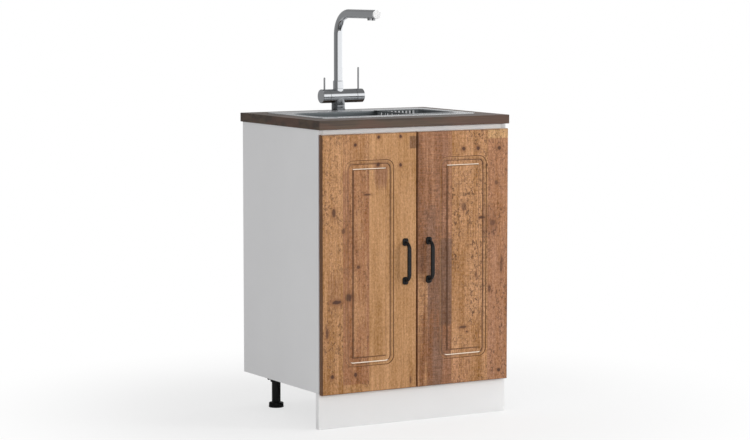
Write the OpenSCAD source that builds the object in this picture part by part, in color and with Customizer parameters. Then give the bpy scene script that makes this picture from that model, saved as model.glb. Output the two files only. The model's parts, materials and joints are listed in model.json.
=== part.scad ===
// Kitchen sink unit: two-door base cabinet, worktop, inset sink with strainer insert, trap and mixer tap.
// X runs along the front, Y from the front to the wall, Z up from the floor. Millimetres.

/* [Carcass] */
// Width over the side panels
cab_w = 600; // [520:10:800]
// Depth of the side panels
cab_d = 442; // [430:1:560]
// Height of the carcass top above the floor
cab_h = 815; // [780:5:900]
// Height of the carcass underside above the floor
leg_h = 99; // [85:1:130]
// Thickness of the carcass boards
board_t = 16; // [15:0.5:19]
// Depth of the flat front rail
rail_d = 56; // [40:1:60]
// Height of the upright rear rail
rear_rail_h = 120; // [110:5:160]
// Height of the low rear rail that stands on the bottom panel
low_rail_h = 70; // [50:5:120]
// Distance between the two wall fixing holes
wall_hole_gap = 400; // [200:10:440]
// Diameter of a wall fixing hole
wall_hole_d = 7; // [5:0.5:9]

/* [Doors] */
// Thickness of a door
door_t = 16; // [15:0.5:19]
// Gap between a door's back and the carcass
door_gap = 2; // [1.5:0.1:3]
// Gap between a door and its outer neighbours, and half the gap between the doors
door_side_gap = 2; // [1:0.5:3]
// Half of the gap between the two doors
door_mid_gap = 1.5; // [1:0.25:3]
// Distance from the carcass top down to the door's top edge
door_top_gap = 13; // [3:1:20]
// How far a door hangs below the carcass underside
door_drop = 4; // [0:1:8]
// Radius along the door's long front edges, centred on its turning line
door_edge_r = 3.5; // [3:0.25:4]
// Distance from the door's edge to the outer step of its frame
frame_w = 72; // [60:1:80]
// Width of the bead between the two steps
bead_w = 10; // [6:1:14]
// Width of the sunk channel round the raised panel
channel_w = 16; // [10:1:20]
// Depth of the first step
step_1 = 1.5; // [0.5:0.25:2]
// Depth of the sunk channel
step_2 = 3.5; // [2.5:0.25:4]
// Corner radius of the outer step
step_r = 24; // [10:1:30]

/* [Handles] */
// Distance between the two feet of a handle
handle_pitch = 107; // [90:1:128]
// How far the grip stands off the door
handle_reach = 25; // [21:0.5:32]
// Width of the grip
handle_w = 12; // [9:0.5:14]
// Thickness of the grip
handle_t = 6; // [5:0.5:7]
// Height of a handle's middle above the floor
handle_z = 447; // [400:1:520]
// Distance from a door's free edge to the handle
handle_inset = 36; // [28:1:40]
// Radius of a handle screw
screw_r = 2; // [1.5:0.25:2.5]

/* [Hinges] */
// Diameter of a hinge cup
cup_d = 35; // [34:0.5:36]
// Depth of a hinge cup under the door's back
cup_h = 11.5; // [11:0.1:12]
// Distance from the door's edge to the cup's centre
cup_inset = 22.5; // [22.5:0.25:23.5]
// Distance from the door's ends to the hinge centres
hinge_end = 100; // [80:5:140]
// Distance of the arm pivot inside the side panel's face
arm_x = 8.7; // [8:0.1:9.5]
// Distance of the arm pivot behind the carcass front
arm_y = 5.5; // [5:0.1:6.5]
// Distance of the cup pivot from the door's edge
cup_pivot_x = 16; // [15.5:0.1:16.5]
// Depth of the cup pivot under the door's back
cup_pivot_y = 4.5; // [4.2:0.1:5]
// Radius of a hinge pin
pin_r = 1.5; // [1.25:0.05:1.6]
// Running clearance round a hinge pin
pin_c = 0.06; // [0.03:0.01:0.1]
// Thickness of the hinge sheet
sheet_t = 1.5; // [1.2:0.1:1.8]

/* [Plinth and legs] */
// Thickness of the plinth board
plinth_t = 16; // [15:0.5:19]
// Gap between the plinth and the carcass
plinth_gap = 0.5; // [0.3:0.1:3]
// Distance of the leg axes from the carcass sides
leg_x = 70; // [50:1:90]
// Distance of the front leg axes behind the carcass front
leg_front = 54; // [50:1:80]
// Distance of the rear leg axes from the carcass back
leg_back = 64; // [45:1:80]
// Outer diameter of a leg tube
leg_d = 25; // [22:0.5:30]
// Wall of a leg tube
leg_wall = 2.5; // [2:0.25:3]
// Diameter of a foot
foot_d = 43; // [38:1:50]
// Height of a foot
foot_h = 14; // [10:1:18]
// Diameter of a leg's mounting flange
flange_d = 64; // [56:1:72]

/* [Worktop] */
// Thickness of the worktop
top_t = 25; // [22:1:40]
// Overhang of the worktop past each side
top_side = 3; // [0:1:10]
// Distance of the worktop's front edge in front of the carcass
top_front = 14; // [6:1:40]
// Distance of the worktop's rear edge behind the carcass
top_back = 8; // [5:1:20]

/* [Sink] */
// Distance of the sink's flange from the carcass sides
sink_side = 45; // [42:1:60]
// Distance of the sink's front edge behind the carcass front
sink_front = 72; // [70:1:90]
// Distance of the sink's rear edge in front of the carcass back
sink_back = 44; // [43:1:50]
// Height of the flange above the worktop
sink_rise = 2; // [1.8:0.1:3]
// Width of the flange at the sides
rim_side = 30; // [26:1:34]
// Width of the flange in front
rim_front = 38; // [34:1:42]
// Width of the ledge behind the bowl
rim_back = 85; // [75:1:90]
// Depth of the bowl
bowl_h = 150; // [130:5:180]
// Corner radius of the bowl in plan
bowl_r = 45; // [35:1:55]
// Radius round the bowl's floor
floor_r = 22; // [14:1:26]
// Thickness of the sink's sheet
sink_t = 1.2; // [0.8:0.1:1.5]
// Corner radius of the flange
flange_r = 28; // [20:1:34]

/* [Strainer insert] */
// Width of the insert
insert_w = 150; // [130:1:160]
// Depth of the insert under the flange
insert_h = 92; // [70:1:110]
// Thickness of the insert's sheet
insert_t = 1.2; // [1:0.1:1.5]
// Distance between two slots
slot_pitch = 12; // [10:0.5:16]
// Width of a slot
slot_w = 6; // [4:0.5:7]

/* [Waste and trap] */
// Diameter of the waste's top flange
waste_d = 112; // [100:1:116]
// Diameter of the strainer basket
basket_d = 78; // [70:1:84]
// Depth of the strainer basket
basket_h = 26; // [20:1:32]
// Outer diameter of the waste pipes
pipe_d = 40; // [38:0.5:42]
// Wall of the waste pipes
pipe_wall = 2.4; // [2:0.1:3]
// Outer diameter of the trap's body
trap_d = 74; // [68:1:84]
// Height of the trap's body
trap_h = 150; // [130:5:170]
// Distance of the outlet's centre above the floor
outlet_z = 470; // [460:5:480]

/* [Tap] */
// Distance of the tap's axis in front of the carcass back
tap_back = 19; // [18:0.5:20]
// Diameter of the pedestal
pedestal_d = 39; // [37:1:39]
// Diameter of the tap body
body_d = 40; // [40:1:42]
// Length of the tap body left of the spout
body_left = 33; // [28:1:50]
// Length of the tap body right of the spout
body_right = 54; // [28:1:58]
// Length of a turning end cap
cap_len = 24; // [22:1:30]
// Height of the body's axis above the worktop
body_z = 41; // [38:1:50]
// Diameter of the spout tube
spout_d = 25; // [20:0.5:26]
// Bend radius of the spout's centre line
spout_bend = 62; // [55:1:80]
// Height of the spout's top above the worktop
spout_top = 291; // [250:5:340]
// Reach of the spout from its own axis
spout_reach = 222; // [180:2:240]
// Wall of the spout tube
spout_wall = 1.5; // [1:0.1:2]
// Diameter of a lever rod
rod_d = 5; // [4:0.25:6]
// Length of the left lever rod above the body
rod_left = 34; // [25:1:60]
// Length of the right lever rod above the body
rod_right = 62; // [40:1:80]
// Diameter of the tap's shank
shank_d = 32; // [28:1:33]

/* [Hidden] */
$fn = 64;

// Clearances
slip = 0.1;      // a peg or tube that slides in its socket
seat = 0.3;      // turning or lifting pieces beside fixed ones
ease = 0.2;      // round a fitting in its pocket

// Reference planes: the origin is under the middle of the whole unit
front_reach = door_gap + door_t + handle_reach;
y_f = (front_reach - cab_d - top_back) / 2;
y_b = y_f + cab_d;
x_l = -cab_w / 2;
z_in = leg_h + board_t;
z_top = cab_h + top_t;
inner_w = cab_w - 2 * board_t;

// Doors
door_w = cab_w / 2 - door_side_gap - door_mid_gap;
door_z = leg_h - door_drop;
door_h = cab_h - door_top_gap - door_z;
door_back = y_f - door_gap;
door_front = door_back - door_t;
hinge_zs = [door_z + hinge_end, door_z + door_h - hinge_end];
handle_x = door_mid_gap + handle_inset;
handle_zs = [handle_z - handle_pitch / 2, handle_z + handle_pitch / 2];

// Hinge linkage: arm pivot, elbow and cup pivot form a parallelogram with the turning line
hinge_edge = x_l + door_side_gap;
turn_at = [hinge_edge + door_edge_r, door_front + door_edge_r];
arm_at = [x_l + board_t + arm_x, y_f + arm_y];
cup_at = [hinge_edge + cup_pivot_x, door_back - cup_pivot_y];
elbow_at = arm_at + cup_at - turn_at;
cup_mid = [hinge_edge + cup_inset, door_back];
cheek_z = 8;          // inner face of the arm's cheeks from the hinge's centre
fork_z = 4.5;         // inner face of the rear link's two plates
arm_len = 62;         // arm behind its pivot
plate_y = 37;         // mounting plate's screw line behind the carcass front
plate_t = 2.5;
rib_h = 4;
rib_half = 7;
eye_r = 3.2;
web_x = 6.3;
web_from = 13;
bolt_head_r = 4;
bolt_head_h = 2;
link_t = 2;
link_half_w = 2.4;
bar_half_w = 1.6;
side_play = 0.4;
cup_joint = 0.6;
wing_t = 1.2;
wing_w = 13;
wing_l = 62;
cup_wall = 1.3;
cup_floor = 1;
cup_lip = 1.5;
cup_notch = 3;
pin_half = sqrt(pow(cup_d / 2 - cup_joint, 2) - pow(cup_inset - cup_pivot_x, 2));

// Handles
screw_grip = 7;
bow_r = 14;
bow_taper = 0.6;
grip_half = 30;
pad_w = 18;
pad_h = 21;
pad_t = 3.5;
pad_r = 6;
pad_dome_r = 2.4;
pad_dome_at = 7;

// Legs
leg_sites = [for (x = [x_l + leg_x, -x_l - leg_x]) for (y = [y_f + leg_front, y_b - leg_back]) [x, y]];
foot_gap = 1;
sole_h = 4;
socket_h = 26;
socket_plate = 4;
spigot_d = 10;
spigot_h = 8;
tube_z0 = foot_h + foot_gap;
tube_z1 = leg_h - socket_plate - 1;
stem_h = 45;

// Fittings that pull the boards together
cam_d = 15;
cam_h = 12.5;
cam_back = 24;
bolt_d = 7;
bolt_in = 9;
cam_in = 60;
cam_under = 35;
clip_w = 40;
flat_cams = [for (y = [y_f + cam_in, y_b - cam_in]) [y, leg_h], [y_f + rail_d / 2, cab_h - board_t]];
upright_cams = [cab_h - rear_rail_h + cam_under, z_in + low_rail_h / 2];

// Angles that hold the worktop
bracket_w = 24;
bracket_gap = 20;
bracket_ys = [y_f + rail_d + bracket_gap, y_b - sink_back - 3 * bracket_w];
wood_screw_r = 2.5;

// Sink
sink_w = cab_w - 2 * sink_side;
sink_d = cab_d - sink_front - sink_back;
sink_y0 = y_f + sink_front;
sink_mid_y = sink_y0 + sink_d / 2;
bowl_w = sink_w - 2 * rim_side;
bowl_d = sink_d - rim_front - rim_back;
bowl_y = sink_y0 + rim_front + bowl_d / 2;
flange_z = z_top + sink_rise;
bowl_z = flange_z - bowl_h;
lap = 12;
cut_w = sink_w - 2 * lap;
cut_d = sink_d - 2 * lap;
cut_r = flange_r - lap / 2;
gasket_t = sink_rise - sink_t;
gasket_w = 8;
fold_gap = 0.05;
fold_h = sink_rise - 2 * fold_gap;
clamp_w = 16;
clamp_drop = 9;

// Strainer insert
insert_gap = 20;
insert_x = bowl_w / 2 - insert_w / 2 - insert_gap;
insert_d = bowl_d - 8;
insert_rim = 12;
insert_z = flange_z + 0.3;
insert_r = 18;
insert_rim_r = 12;
insert_floor_r = 14;
insert_slot_low = 22;
insert_slot_top = 8;
insert_slots = floor((insert_w - 2 * insert_r) / slot_pitch);
side_slots = floor((insert_d - 2 * insert_r) / slot_pitch);

// Waste and trap, all on the line through the drain
drain_apart = 19;
drain_x = insert_x - insert_w / 2 - waste_d / 2 - drain_apart;
drain_y = bowl_y;
throat_d = basket_d + 6;
drain_gap = 2;
drain_cut_r = throat_d / 2 + drain_gap;
seal_t = 2.5;
pan_h = 38;
pan_wall = 3;
plate_gap = 6;
drain_r = 14;
lip_t = 1.5;
sheet_w = 1.2;
basket_t = 1;
basket_holes = 12;
neck_d = pipe_d + 8;
waste_z = bowl_z - sink_t;
pan_z = waste_z - seal_t - pan_h;
neck_h = 30;
trap_top = outlet_z + 34;
trap_neck = 20;
trap_wall = 3;
cup_t = 4;
cup_h2 = 26;
trap_low = trap_top - trap_h + cup_t;
washer_t = 0.9;
nut_d = pipe_d + 18;
nut_h = 20;
nut_face = 4;
socket_out = 40;
socket_end = drain_y + trap_d / 2 + socket_out;
socket_deep = 24;
outlet_end = y_b + top_back - 2;
tail_top = pan_z - neck_h + 16;
tail_dip = 70;
tail_low = trap_top - tail_dip;

// Tap
tap_at = [0, y_b - tap_back];
body_at = z_top + body_z;
tap_hole_d = shank_d + 3;
column_z = body_at + body_d / 2;
collar_d = spout_d + 5;
collar_h = 22;
spout_axis = z_top + spout_top - spout_d / 2;
nozzle_back = 20;
nozzle_apart = 23;
nozzle_at = [spout_reach - nozzle_back - nozzle_apart, spout_reach - nozzle_back];
nozzle_r = 5.5;
nozzle_h = 5;
nozzle_in = 2.5;
end_t = 3;
spout_foot = body_at + 3;
seal_tap = 1.5;
pedestal_h = 14;
stem_z = z_top + seal_tap + pedestal_h;
shank_seat = 3;
boss_z = column_z + 2;
cartridge_r = 14;
cartridge_len = 14;
spindle_r = 5;
spindle_len = 16;
cap_gap = 0.4;
rod_seat = 8;
inlet_r = 4.5;
inlet_end_r = 5.2;
inlet_x = 5.5;
inlet_y = -6.2;
inlet_seat = 10;
inlet_end = 16;
inlet_hang = 70;
shank_hang = 60;
shank_z = cab_h - shank_hang;
inlet_z = shank_z - inlet_hang;
notch_w = 64;
notch_h = 78;

// Repeats what it holds on both sides of the middle plane
module both_sides() {
    children();
    mirror([1, 0, 0]) children();
}

// A rectangle with round corners, centred
module round_rect(w, d, r) {
    square([w - 2 * r, d], center = true);
    square([w, d - 2 * r], center = true);
    for (x = [-1, 1], y = [-1, 1]) translate([x * (w / 2 - r), y * (d / 2 - r)]) circle(r);
}

// A rectangle on the X axis whose two lower corners are round
module dish(w, h, r) {
    translate([-w / 2, r]) square([w, h - r]);
    translate([r - w / 2, 0]) square([w - 2 * r, h]);
    for (s = [-1, 1]) translate([s * (w / 2 - r), r]) circle(r);
}

// A tub with upright walls, round corners rc in plan and a radius rb along its floor, base at z = 0
module tub(w, d, h, rc, rb) {
    intersection() {
        linear_extrude(h) round_rect(w, d, rc);
        translate([0, d, 0]) rotate([90, 0, 0]) linear_extrude(2 * d) dish(w, h, rb);
        translate([-w, 0, 0]) rotate([90, 0, 90]) linear_extrude(2 * w) dish(d, h, rb);
    }
}

// A straight tube along +Z
module pipe(r_out, r_in, h) {
    difference() {
        cylinder(r = r_out, h = h);
        translate([0, 0, -1]) cylinder(r = r_in, h = h + 2);
    }
}

// A cylinder between two heights
module upright(z0, z1, r) {
    translate([0, 0, z0]) cylinder(r = r, h = z1 - z0);
}

// A flat bar with round ends between two points, laid in the XY plane
module bar(p, q, r, h) {
    d = q - p;
    a = atan2(d[1], d[0]);
    linear_extrude(h) {
        translate(p) circle(r, $fn = 32);
        translate(q) circle(r, $fn = 32);
        translate(p) rotate(a) translate([0, -r]) square([norm(d), 2 * r]);
    }
}

// Places a cam fitting: bolt along +X out of the board joint, disc axis along +Z
module cam_fitting(grow = 0) {
    translate([cam_back, 0, -grow]) cylinder(d = cam_d + 2 * grow, h = cam_h + grow);
    translate([-bolt_in - grow, 0, board_t / 2]) rotate([0, 90, 0])
        cylinder(d = bolt_d + 2 * grow, h = bolt_in + cam_back + grow, $fn = 32);
}

module all_cams(grow = 0) {
    both_sides() {
        for (s = flat_cams) translate([x_l + board_t, s[0], s[1]]) cam_fitting(grow);
        for (z = upright_cams) translate([x_l + board_t, y_b, z]) rotate([90, 0, 0]) cam_fitting(grow);
    }
}

module carcass_side() {
    difference() {
        translate([x_l, y_f, leg_h]) cube([board_t, cab_d, cab_h - leg_h]);
        all_cams(ease);
    }
}

module side_left() {
    color("gainsboro") carcass_side();
}

module side_right() {
    color("gainsboro") mirror([1, 0, 0]) carcass_side();
}

module bottom_panel() {
    color("gainsboro") difference() {
        translate([x_l + board_t, y_f, leg_h]) cube([inner_w, cab_d, board_t]);
        all_cams(ease);
        for (p = leg_sites) translate([p[0], p[1], leg_h - 1])
            cylinder(d = spigot_d + 2 * slip, h = spigot_h + 2);
    }
}

module front_rail() {
    color("whitesmoke") difference() {
        translate([x_l + board_t, y_f, cab_h - board_t]) cube([inner_w, rail_d, board_t]);
        all_cams(ease);
    }
}

// The notch lets the tap's shank and nut pass behind the worktop's cut-out
module rear_rail() {
    color("gainsboro") difference() {
        translate([x_l + board_t, y_b - board_t, cab_h - rear_rail_h]) cube([inner_w, board_t, rear_rail_h]);
        translate([-notch_w / 2, y_b - board_t - 1, cab_h - notch_h])
            cube([notch_w, board_t + 2, notch_h + 1]);
        for (x = [-1, 1]) translate([x * wall_hole_gap / 2, y_b + 1, cab_h - rear_rail_h / 2])
            rotate([90, 0, 0]) cylinder(d = wall_hole_d, h = board_t + 2);
        all_cams(ease);
    }
}

module low_rear_rail() {
    color("gainsboro") difference() {
        translate([x_l + board_t, y_b - board_t, z_in]) cube([inner_w, board_t, low_rail_h]);
        all_cams(ease);
    }
}

module cam_fittings() {
    color("silver") all_cams();
}

module plinth() {
    color("whitesmoke") translate([x_l, y_f, 0]) cube([cab_w, plinth_t, leg_h - plinth_gap]);
}

// A clip screwed to the back of the plinth that snaps round a front leg
module plinth_clips() {
    ring_r = leg_d / 2 + slip;
    ring_w = 3;
    ring_h = 20;
    mouth = 1.44 * ring_r;
    base = [clip_w, 3, clip_w - 8];
    web_x = leg_d / 4;
    low = (leg_h - ring_h) / 2;
    y0 = y_f + plinth_t;
    y1 = y_f + leg_front;
    color("dimgray") both_sides() translate([x_l + leg_x, 0, low]) difference() {
        union() {
            translate([-base[0] / 2, y0, (ring_h - base[2]) / 2]) cube(base);
            for (x = [-web_x - ring_w, web_x]) translate([x, y0, 0])
                cube([ring_w, y1 - y0 - leg_d / 2, ring_h]);
            translate([0, y1, 0]) cylinder(r = ring_r + ring_w, h = ring_h);
        }
        translate([0, y1, -1]) cylinder(r = ring_r, h = ring_h + 2);
        translate([-mouth / 2, y1 + 2, -1]) cube([mouth, ring_r + ring_w + 2, ring_h + 2]);
    }
}

module leg_sockets() {
    collar_r = leg_d / 2 + 4;
    fin = [flange_d / 2 - leg_d / 2 - 5, 3, socket_h - 8];
    color("#222222") for (p = leg_sites) translate([p[0], p[1], leg_h]) difference() {
        union() {
            translate([0, 0, -socket_plate]) cylinder(d = flange_d, h = socket_plate);
            translate([0, 0, -socket_h]) cylinder(r = collar_r, h = socket_h);
            cylinder(d = spigot_d, h = spigot_h);
            for (a = [0:90:270]) rotate(a + 45) translate([leg_d / 2, -fin[1] / 2, -fin[2]]) cube(fin);
        }
        translate([0, 0, -socket_h - 1]) cylinder(r = leg_d / 2 + slip, h = socket_h - socket_plate + 1);
        for (a = [0:90:270]) rotate(a) translate([flange_d / 2 - 6, 0, -socket_plate - 1])
            cylinder(r = wood_screw_r, h = socket_plate + 2);
    }
}

module leg_tubes() {
    color("#222222") for (p = leg_sites) translate([p[0], p[1], tube_z0])
        pipe(leg_d / 2, leg_d / 2 - leg_wall, tube_z1 - tube_z0);
}

// A screw-in foot: sole, ribbed grip ring and a stem that runs in the leg tube
module foot(p) {
    ribs = 16;
    rib_r = 3;
    stem_r = leg_d / 2 - leg_wall - slip;
    grip_r = foot_d / 2 - 0.75;
    color("#1c1c1c") translate([p[0], p[1], 0]) difference() {
        rotate_extrude() polygon([[0, 0], [foot_d / 2, 0], [foot_d / 2, sole_h], [grip_r, sole_h],
            [grip_r, foot_h], [stem_r, foot_h], [stem_r, foot_h + stem_h], [0, foot_h + stem_h]]);
        for (i = [0:ribs - 1]) rotate(i * 360 / ribs) translate([grip_r + rib_r / 2, 0, sole_h + 1])
            cylinder(r = rib_r, h = foot_h);
    }
}

module foot_front_left() { foot(leg_sites[0]); }
module foot_rear_left() { foot(leg_sites[1]); }
module foot_front_right() { foot(leg_sites[2]); }
module foot_rear_right() { foot(leg_sites[3]); }

module worktop() {
    color("#6b5a4c") difference() {
        translate([x_l - top_side, y_f - top_front, cab_h])
            cube([cab_w + 2 * top_side, cab_d + top_front + top_back, top_t]);
        translate([0, sink_mid_y, cab_h - 1]) linear_extrude(top_t + 2) round_rect(cut_w, cut_d, cut_r);
        translate([tap_at[0], tap_at[1], cab_h - 1]) cylinder(d = tap_hole_d, h = top_t + 2);
    }
}

// Steel angles in the upper corners that hold the worktop down
module worktop_brackets() {
    leg = 22;
    t = 2;
    hole_at = leg / 2 + t;
    color("silver") both_sides() for (y = bracket_ys) translate([x_l + board_t, y, cab_h]) difference() {
        union() {
            translate([0, 0, -leg]) cube([t, bracket_w, leg]);
            translate([0, 0, -t]) cube([leg, bracket_w, t]);
        }
        translate([-1, bracket_w / 2, -hole_at]) rotate([0, 90, 0]) cylinder(r = wood_screw_r, h = t + 2);
        translate([hole_at, bracket_w / 2, -t - 1]) cylinder(r = wood_screw_r, h = t + 2);
    }
}

module sink() {
    color("silver") difference() {
        union() {
            translate([0, sink_mid_y, flange_z - sink_t]) linear_extrude(sink_t)
                round_rect(sink_w, sink_d, flange_r);
            translate([0, sink_mid_y, z_top + fold_gap]) linear_extrude(fold_h) difference() {
                round_rect(sink_w, sink_d, flange_r);
                round_rect(sink_w - 2 * sink_t, sink_d - 2 * sink_t, flange_r - sink_t);
            }
            translate([0, bowl_y, bowl_z - sink_t]) tub(bowl_w + 2 * sink_t, bowl_d + 2 * sink_t,
                bowl_h + sink_t, bowl_r + sink_t, floor_r + sink_t);
        }
        translate([0, bowl_y, bowl_z]) tub(bowl_w, bowl_d, bowl_h + 1, bowl_r, floor_r);
        translate([drain_x, drain_y, bowl_z - sink_t - 1]) cylinder(r = drain_cut_r, h = sink_t + 2);
    }
}

// A soft strip under the flange, just inside its folded edge
module sink_gasket() {
    w = sink_w - 2 * sink_t - 2 * seat;
    d = sink_d - 2 * sink_t - 2 * seat;
    color("#303030") translate([0, sink_mid_y, z_top]) linear_extrude(gasket_t) difference() {
        round_rect(w, d, flange_r - sink_t - seat);
        round_rect(w - 2 * gasket_w, d - 2 * gasket_w, flange_r - sink_t - seat - gasket_w);
    }
}

// Clamps hang from the flange in the cut-out and press up under the worktop
module sink_clamps() {
    color("darkgray") for (s = [-1, 1]) {
        for (x = [-bowl_w / 3, bowl_w / 3]) translate([x, sink_mid_y + s * cut_d / 2, 0]) clamp(s * 90);
        for (y = [-bowl_d / 4, bowl_d / 4]) translate([s * cut_w / 2, bowl_y + y, 0]) clamp(90 - s * 90);
    }
}

// One clamp at the edge of the cut-out, reaching outwards along its own +X
module clamp(turn) {
    t = 1.6;
    back = 5;
    reach = 12;
    z0 = cab_h - clamp_drop;
    hang = flange_z - sink_t - z0;
    rotate(turn) translate([0, clamp_w / 2, 0]) rotate([90, 0, 0]) linear_extrude(clamp_w) {
        translate([-back, z0]) square([t, hang]);
        translate([-back, z0]) square([back + reach, t]);
        translate([reach - t, z0]) square([t, clamp_drop]);
        translate([t - 2 * back, z0 + hang - t]) square([back, t]);
    }
}

// Lower edge of slot i in a centred row of count slots
function slot_at(i, count) = (i - (count - 1) / 2) * slot_pitch - slot_w / 2;

// Slotted stainless tub that hangs on the flange at the right of the bowl
module strainer_insert() {
    wall_h = insert_h - insert_slot_low - insert_slot_top;
    slot_z = insert_slot_low - insert_h;
    inner = 2 * insert_t;
    color("lightgray") translate([insert_x, bowl_y, insert_z]) difference() {
        union() {
            linear_extrude(insert_t) round_rect(insert_w, insert_d + 2 * insert_rim, insert_rim_r);
            translate([0, 0, -insert_h])
                tub(insert_w, insert_d, insert_h + insert_t, insert_r, insert_floor_r);
        }
        translate([0, 0, -insert_h + insert_t]) tub(insert_w - inner, insert_d - inner, insert_h + insert_t,
            insert_r - insert_t, insert_floor_r - insert_t);
        for (i = [0:insert_slots - 1]) translate([slot_at(i, insert_slots), 0, 0]) {
            translate([0, -insert_d, slot_z]) cube([slot_w, 2 * insert_d, wall_h]);
            translate([0, insert_slot_low - insert_d / 2, -insert_h - 1])
                cube([slot_w, insert_d - 2 * insert_slot_low, insert_t + 2]);
        }
        for (i = [0:side_slots - 1]) translate([-insert_w, slot_at(i, side_slots), slot_z])
            cube([2 * insert_w, slot_w, wall_h]);
    }
}

// Dished top ring of the waste with its throat, seated on the bowl's floor
module waste_flange() {
    r = throat_d / 2;
    low = plate_gap - pan_h;
    color("silver") translate([drain_x, drain_y, bowl_z]) rotate_extrude() polygon([
        [drain_r, low], [r, low], [r, 0], [waste_d / 2, 0], [waste_d / 2 - 1, lip_t],
        [r - sheet_w, lip_t], [r - sheet_w, low + sheet_w], [drain_r, low + sheet_w]]);
}

module waste_seals() {
    r_in = pipe_d / 2 + slip;
    color("#202020") {
        translate([drain_x, drain_y, waste_z - seal_t]) pipe(waste_d / 2, drain_cut_r, seal_t);
        translate([drain_x, drain_y, pan_z - neck_h - washer_t]) pipe(neck_d / 2, r_in, washer_t);
        translate([drain_x, drain_y, trap_top + trap_neck]) pipe(neck_d / 2, r_in, washer_t);
        translate([drain_x, socket_end, outlet_z]) rotate([-90, 0, 0]) pipe(neck_d / 2, r_in, washer_t);
    }
}

// Plastic pan under the bowl with a threaded neck for the tail pipe
module waste_body() {
    r = throat_d / 2 + slip;
    p = pipe_d / 2;
    wall = r + pan_wall;
    rim = pan_h - pan_wall - 1;
    color("white") translate([drain_x, drain_y, pan_z]) rotate_extrude() polygon([
        [r, pan_h], [waste_d / 2, pan_h], [waste_d / 2, rim], [wall, rim], [wall, 0],
        [neck_d / 2, 0], [neck_d / 2, -neck_h], [p + slip, -neck_h], [p + slip, -pan_wall / 2],
        [p - pipe_wall, -pan_wall / 2], [p - pipe_wall, pan_wall], [r, pan_wall]]);
}

// Strainer basket with a knob to lift it by
module waste_basket() {
    r = basket_d / 2;
    bevel = 6;
    knob_r = 6;
    hole_r = 2.6;
    r_in = r - basket_t;
    floor_z = basket_t - basket_h;
    step = 360 / basket_holes;
    color("silver") translate([drain_x, drain_y, bowl_z + lip_t + seat]) difference() {
        union() {
            rotate_extrude() polygon([[0, -basket_h], [r - bevel, -basket_h], [r, bevel - basket_h], [r, 0],
                [throat_d / 2 + 2, 0], [throat_d / 2 + 2, basket_t], [r_in, basket_t],
                [r_in, bevel - basket_h + basket_t / 2], [r_in - bevel + basket_t / 2, floor_z],
                [0, floor_z]]);
            upright(-basket_h, -knob_r / 2, knob_r / 2);
            translate([0, 0, -knob_r]) sphere(r = knob_r);
        }
        for (i = [0:basket_holes - 1]) rotate(i * step) translate([r - 2 * bevel, 0, -basket_h - 1])
            cylinder(r = hole_r, h = basket_t + 2);
        for (i = [0:basket_holes / 2 - 1]) rotate(2 * i * step) translate([r / 3, 0, -basket_h - 1])
            cylinder(r = hole_r, h = basket_t + 2);
    }
}

module tail_pipe() {
    color("white") translate([drain_x, drain_y, tail_low])
        pipe(pipe_d / 2, pipe_d / 2 - pipe_wall, tail_top - tail_low);
}

// A ribbed union nut; its thread side faces +Z
module pipe_nut() {
    grips = 14;
    groove_r = 2;
    r = nut_d / 2;
    bore = pipe_d / 2 + slip;
    neck = neck_d / 2 + slip;
    difference() {
        rotate_extrude() polygon([[bore, 0], [r - 2, 0], [r, 2], [r, nut_h], [neck, nut_h], [neck, nut_face],
            [bore, nut_face]]);
        for (i = [0:grips - 1]) rotate(i * 360 / grips) translate([r + groove_r / 3, 0, nut_face + 1])
            cylinder(r = groove_r, h = nut_h);
    }
}

module pipe_nuts() {
    face = washer_t + nut_face;
    color("white") {
        translate([drain_x, drain_y, pan_z - neck_h - face]) pipe_nut();
        translate([drain_x, drain_y, trap_top + trap_neck + face]) rotate([180, 0, 0]) pipe_nut();
        translate([drain_x, socket_end + face, outlet_z]) rotate([90, 0, 0]) pipe_nut();
    }
}

// Bottle trap: round body with a neck for the tail pipe and a side socket for the outlet
module trap_body() {
    r = trap_d / 2;
    thread_r = r - cup_t;
    inner_r = thread_r - trap_wall;
    shoulder = 8;
    socket_l = socket_end - drain_y;
    bore = pipe_d / 2 + slip;
    color("white") translate([drain_x, drain_y, 0]) difference() {
        union() {
            upright(trap_low + cup_h2 + 0.5, trap_top - shoulder, r);
            upright(trap_low, trap_top - shoulder - 1, thread_r);
            translate([0, 0, trap_top - shoulder]) rotate_extrude()
                polygon([[0, 0], [r, 0], [r - shoulder, shoulder], [0, shoulder]]);
            upright(trap_top - shoulder, trap_top + trap_neck, neck_d / 2);
            translate([0, 0, outlet_z]) rotate([-90, 0, 0]) cylinder(r = neck_d / 2, h = socket_l);
        }
        upright(trap_low - 1, trap_top - shoulder - trap_wall, inner_r);
        upright(trap_top - 2 * shoulder, trap_top + trap_neck + 1, bore);
        translate([0, 0, outlet_z]) rotate([-90, 0, 0]) {
            cylinder(r = pipe_d / 2 - pipe_wall, h = socket_l + 1);
            translate([0, 0, socket_l - socket_deep]) cylinder(r = bore, h = socket_deep + 1);
        }
    }
}

// Cup that screws on from below, with grip grooves
module trap_cup() {
    r = trap_d / 2;
    thread_r = r - cup_t + slip;
    grooves = 18;
    groove_r = 2.2;
    base = 8;
    color("gainsboro") translate([drain_x, drain_y, trap_low]) difference() {
        rotate_extrude() polygon([[0, -base - cup_t], [r - 12, -base - cup_t], [r - 2, -cup_t / 2],
            [r, cup_t], [r, cup_h2], [thread_r, cup_h2], [thread_r, -slip], [r - 13, -base], [0, -base]]);
        for (i = [0:grooves - 1]) rotate(i * 360 / grooves) translate([r + groove_r / 3, 0, 2 * cup_t])
            cylinder(r = groove_r, h = cup_h2);
    }
}

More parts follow.
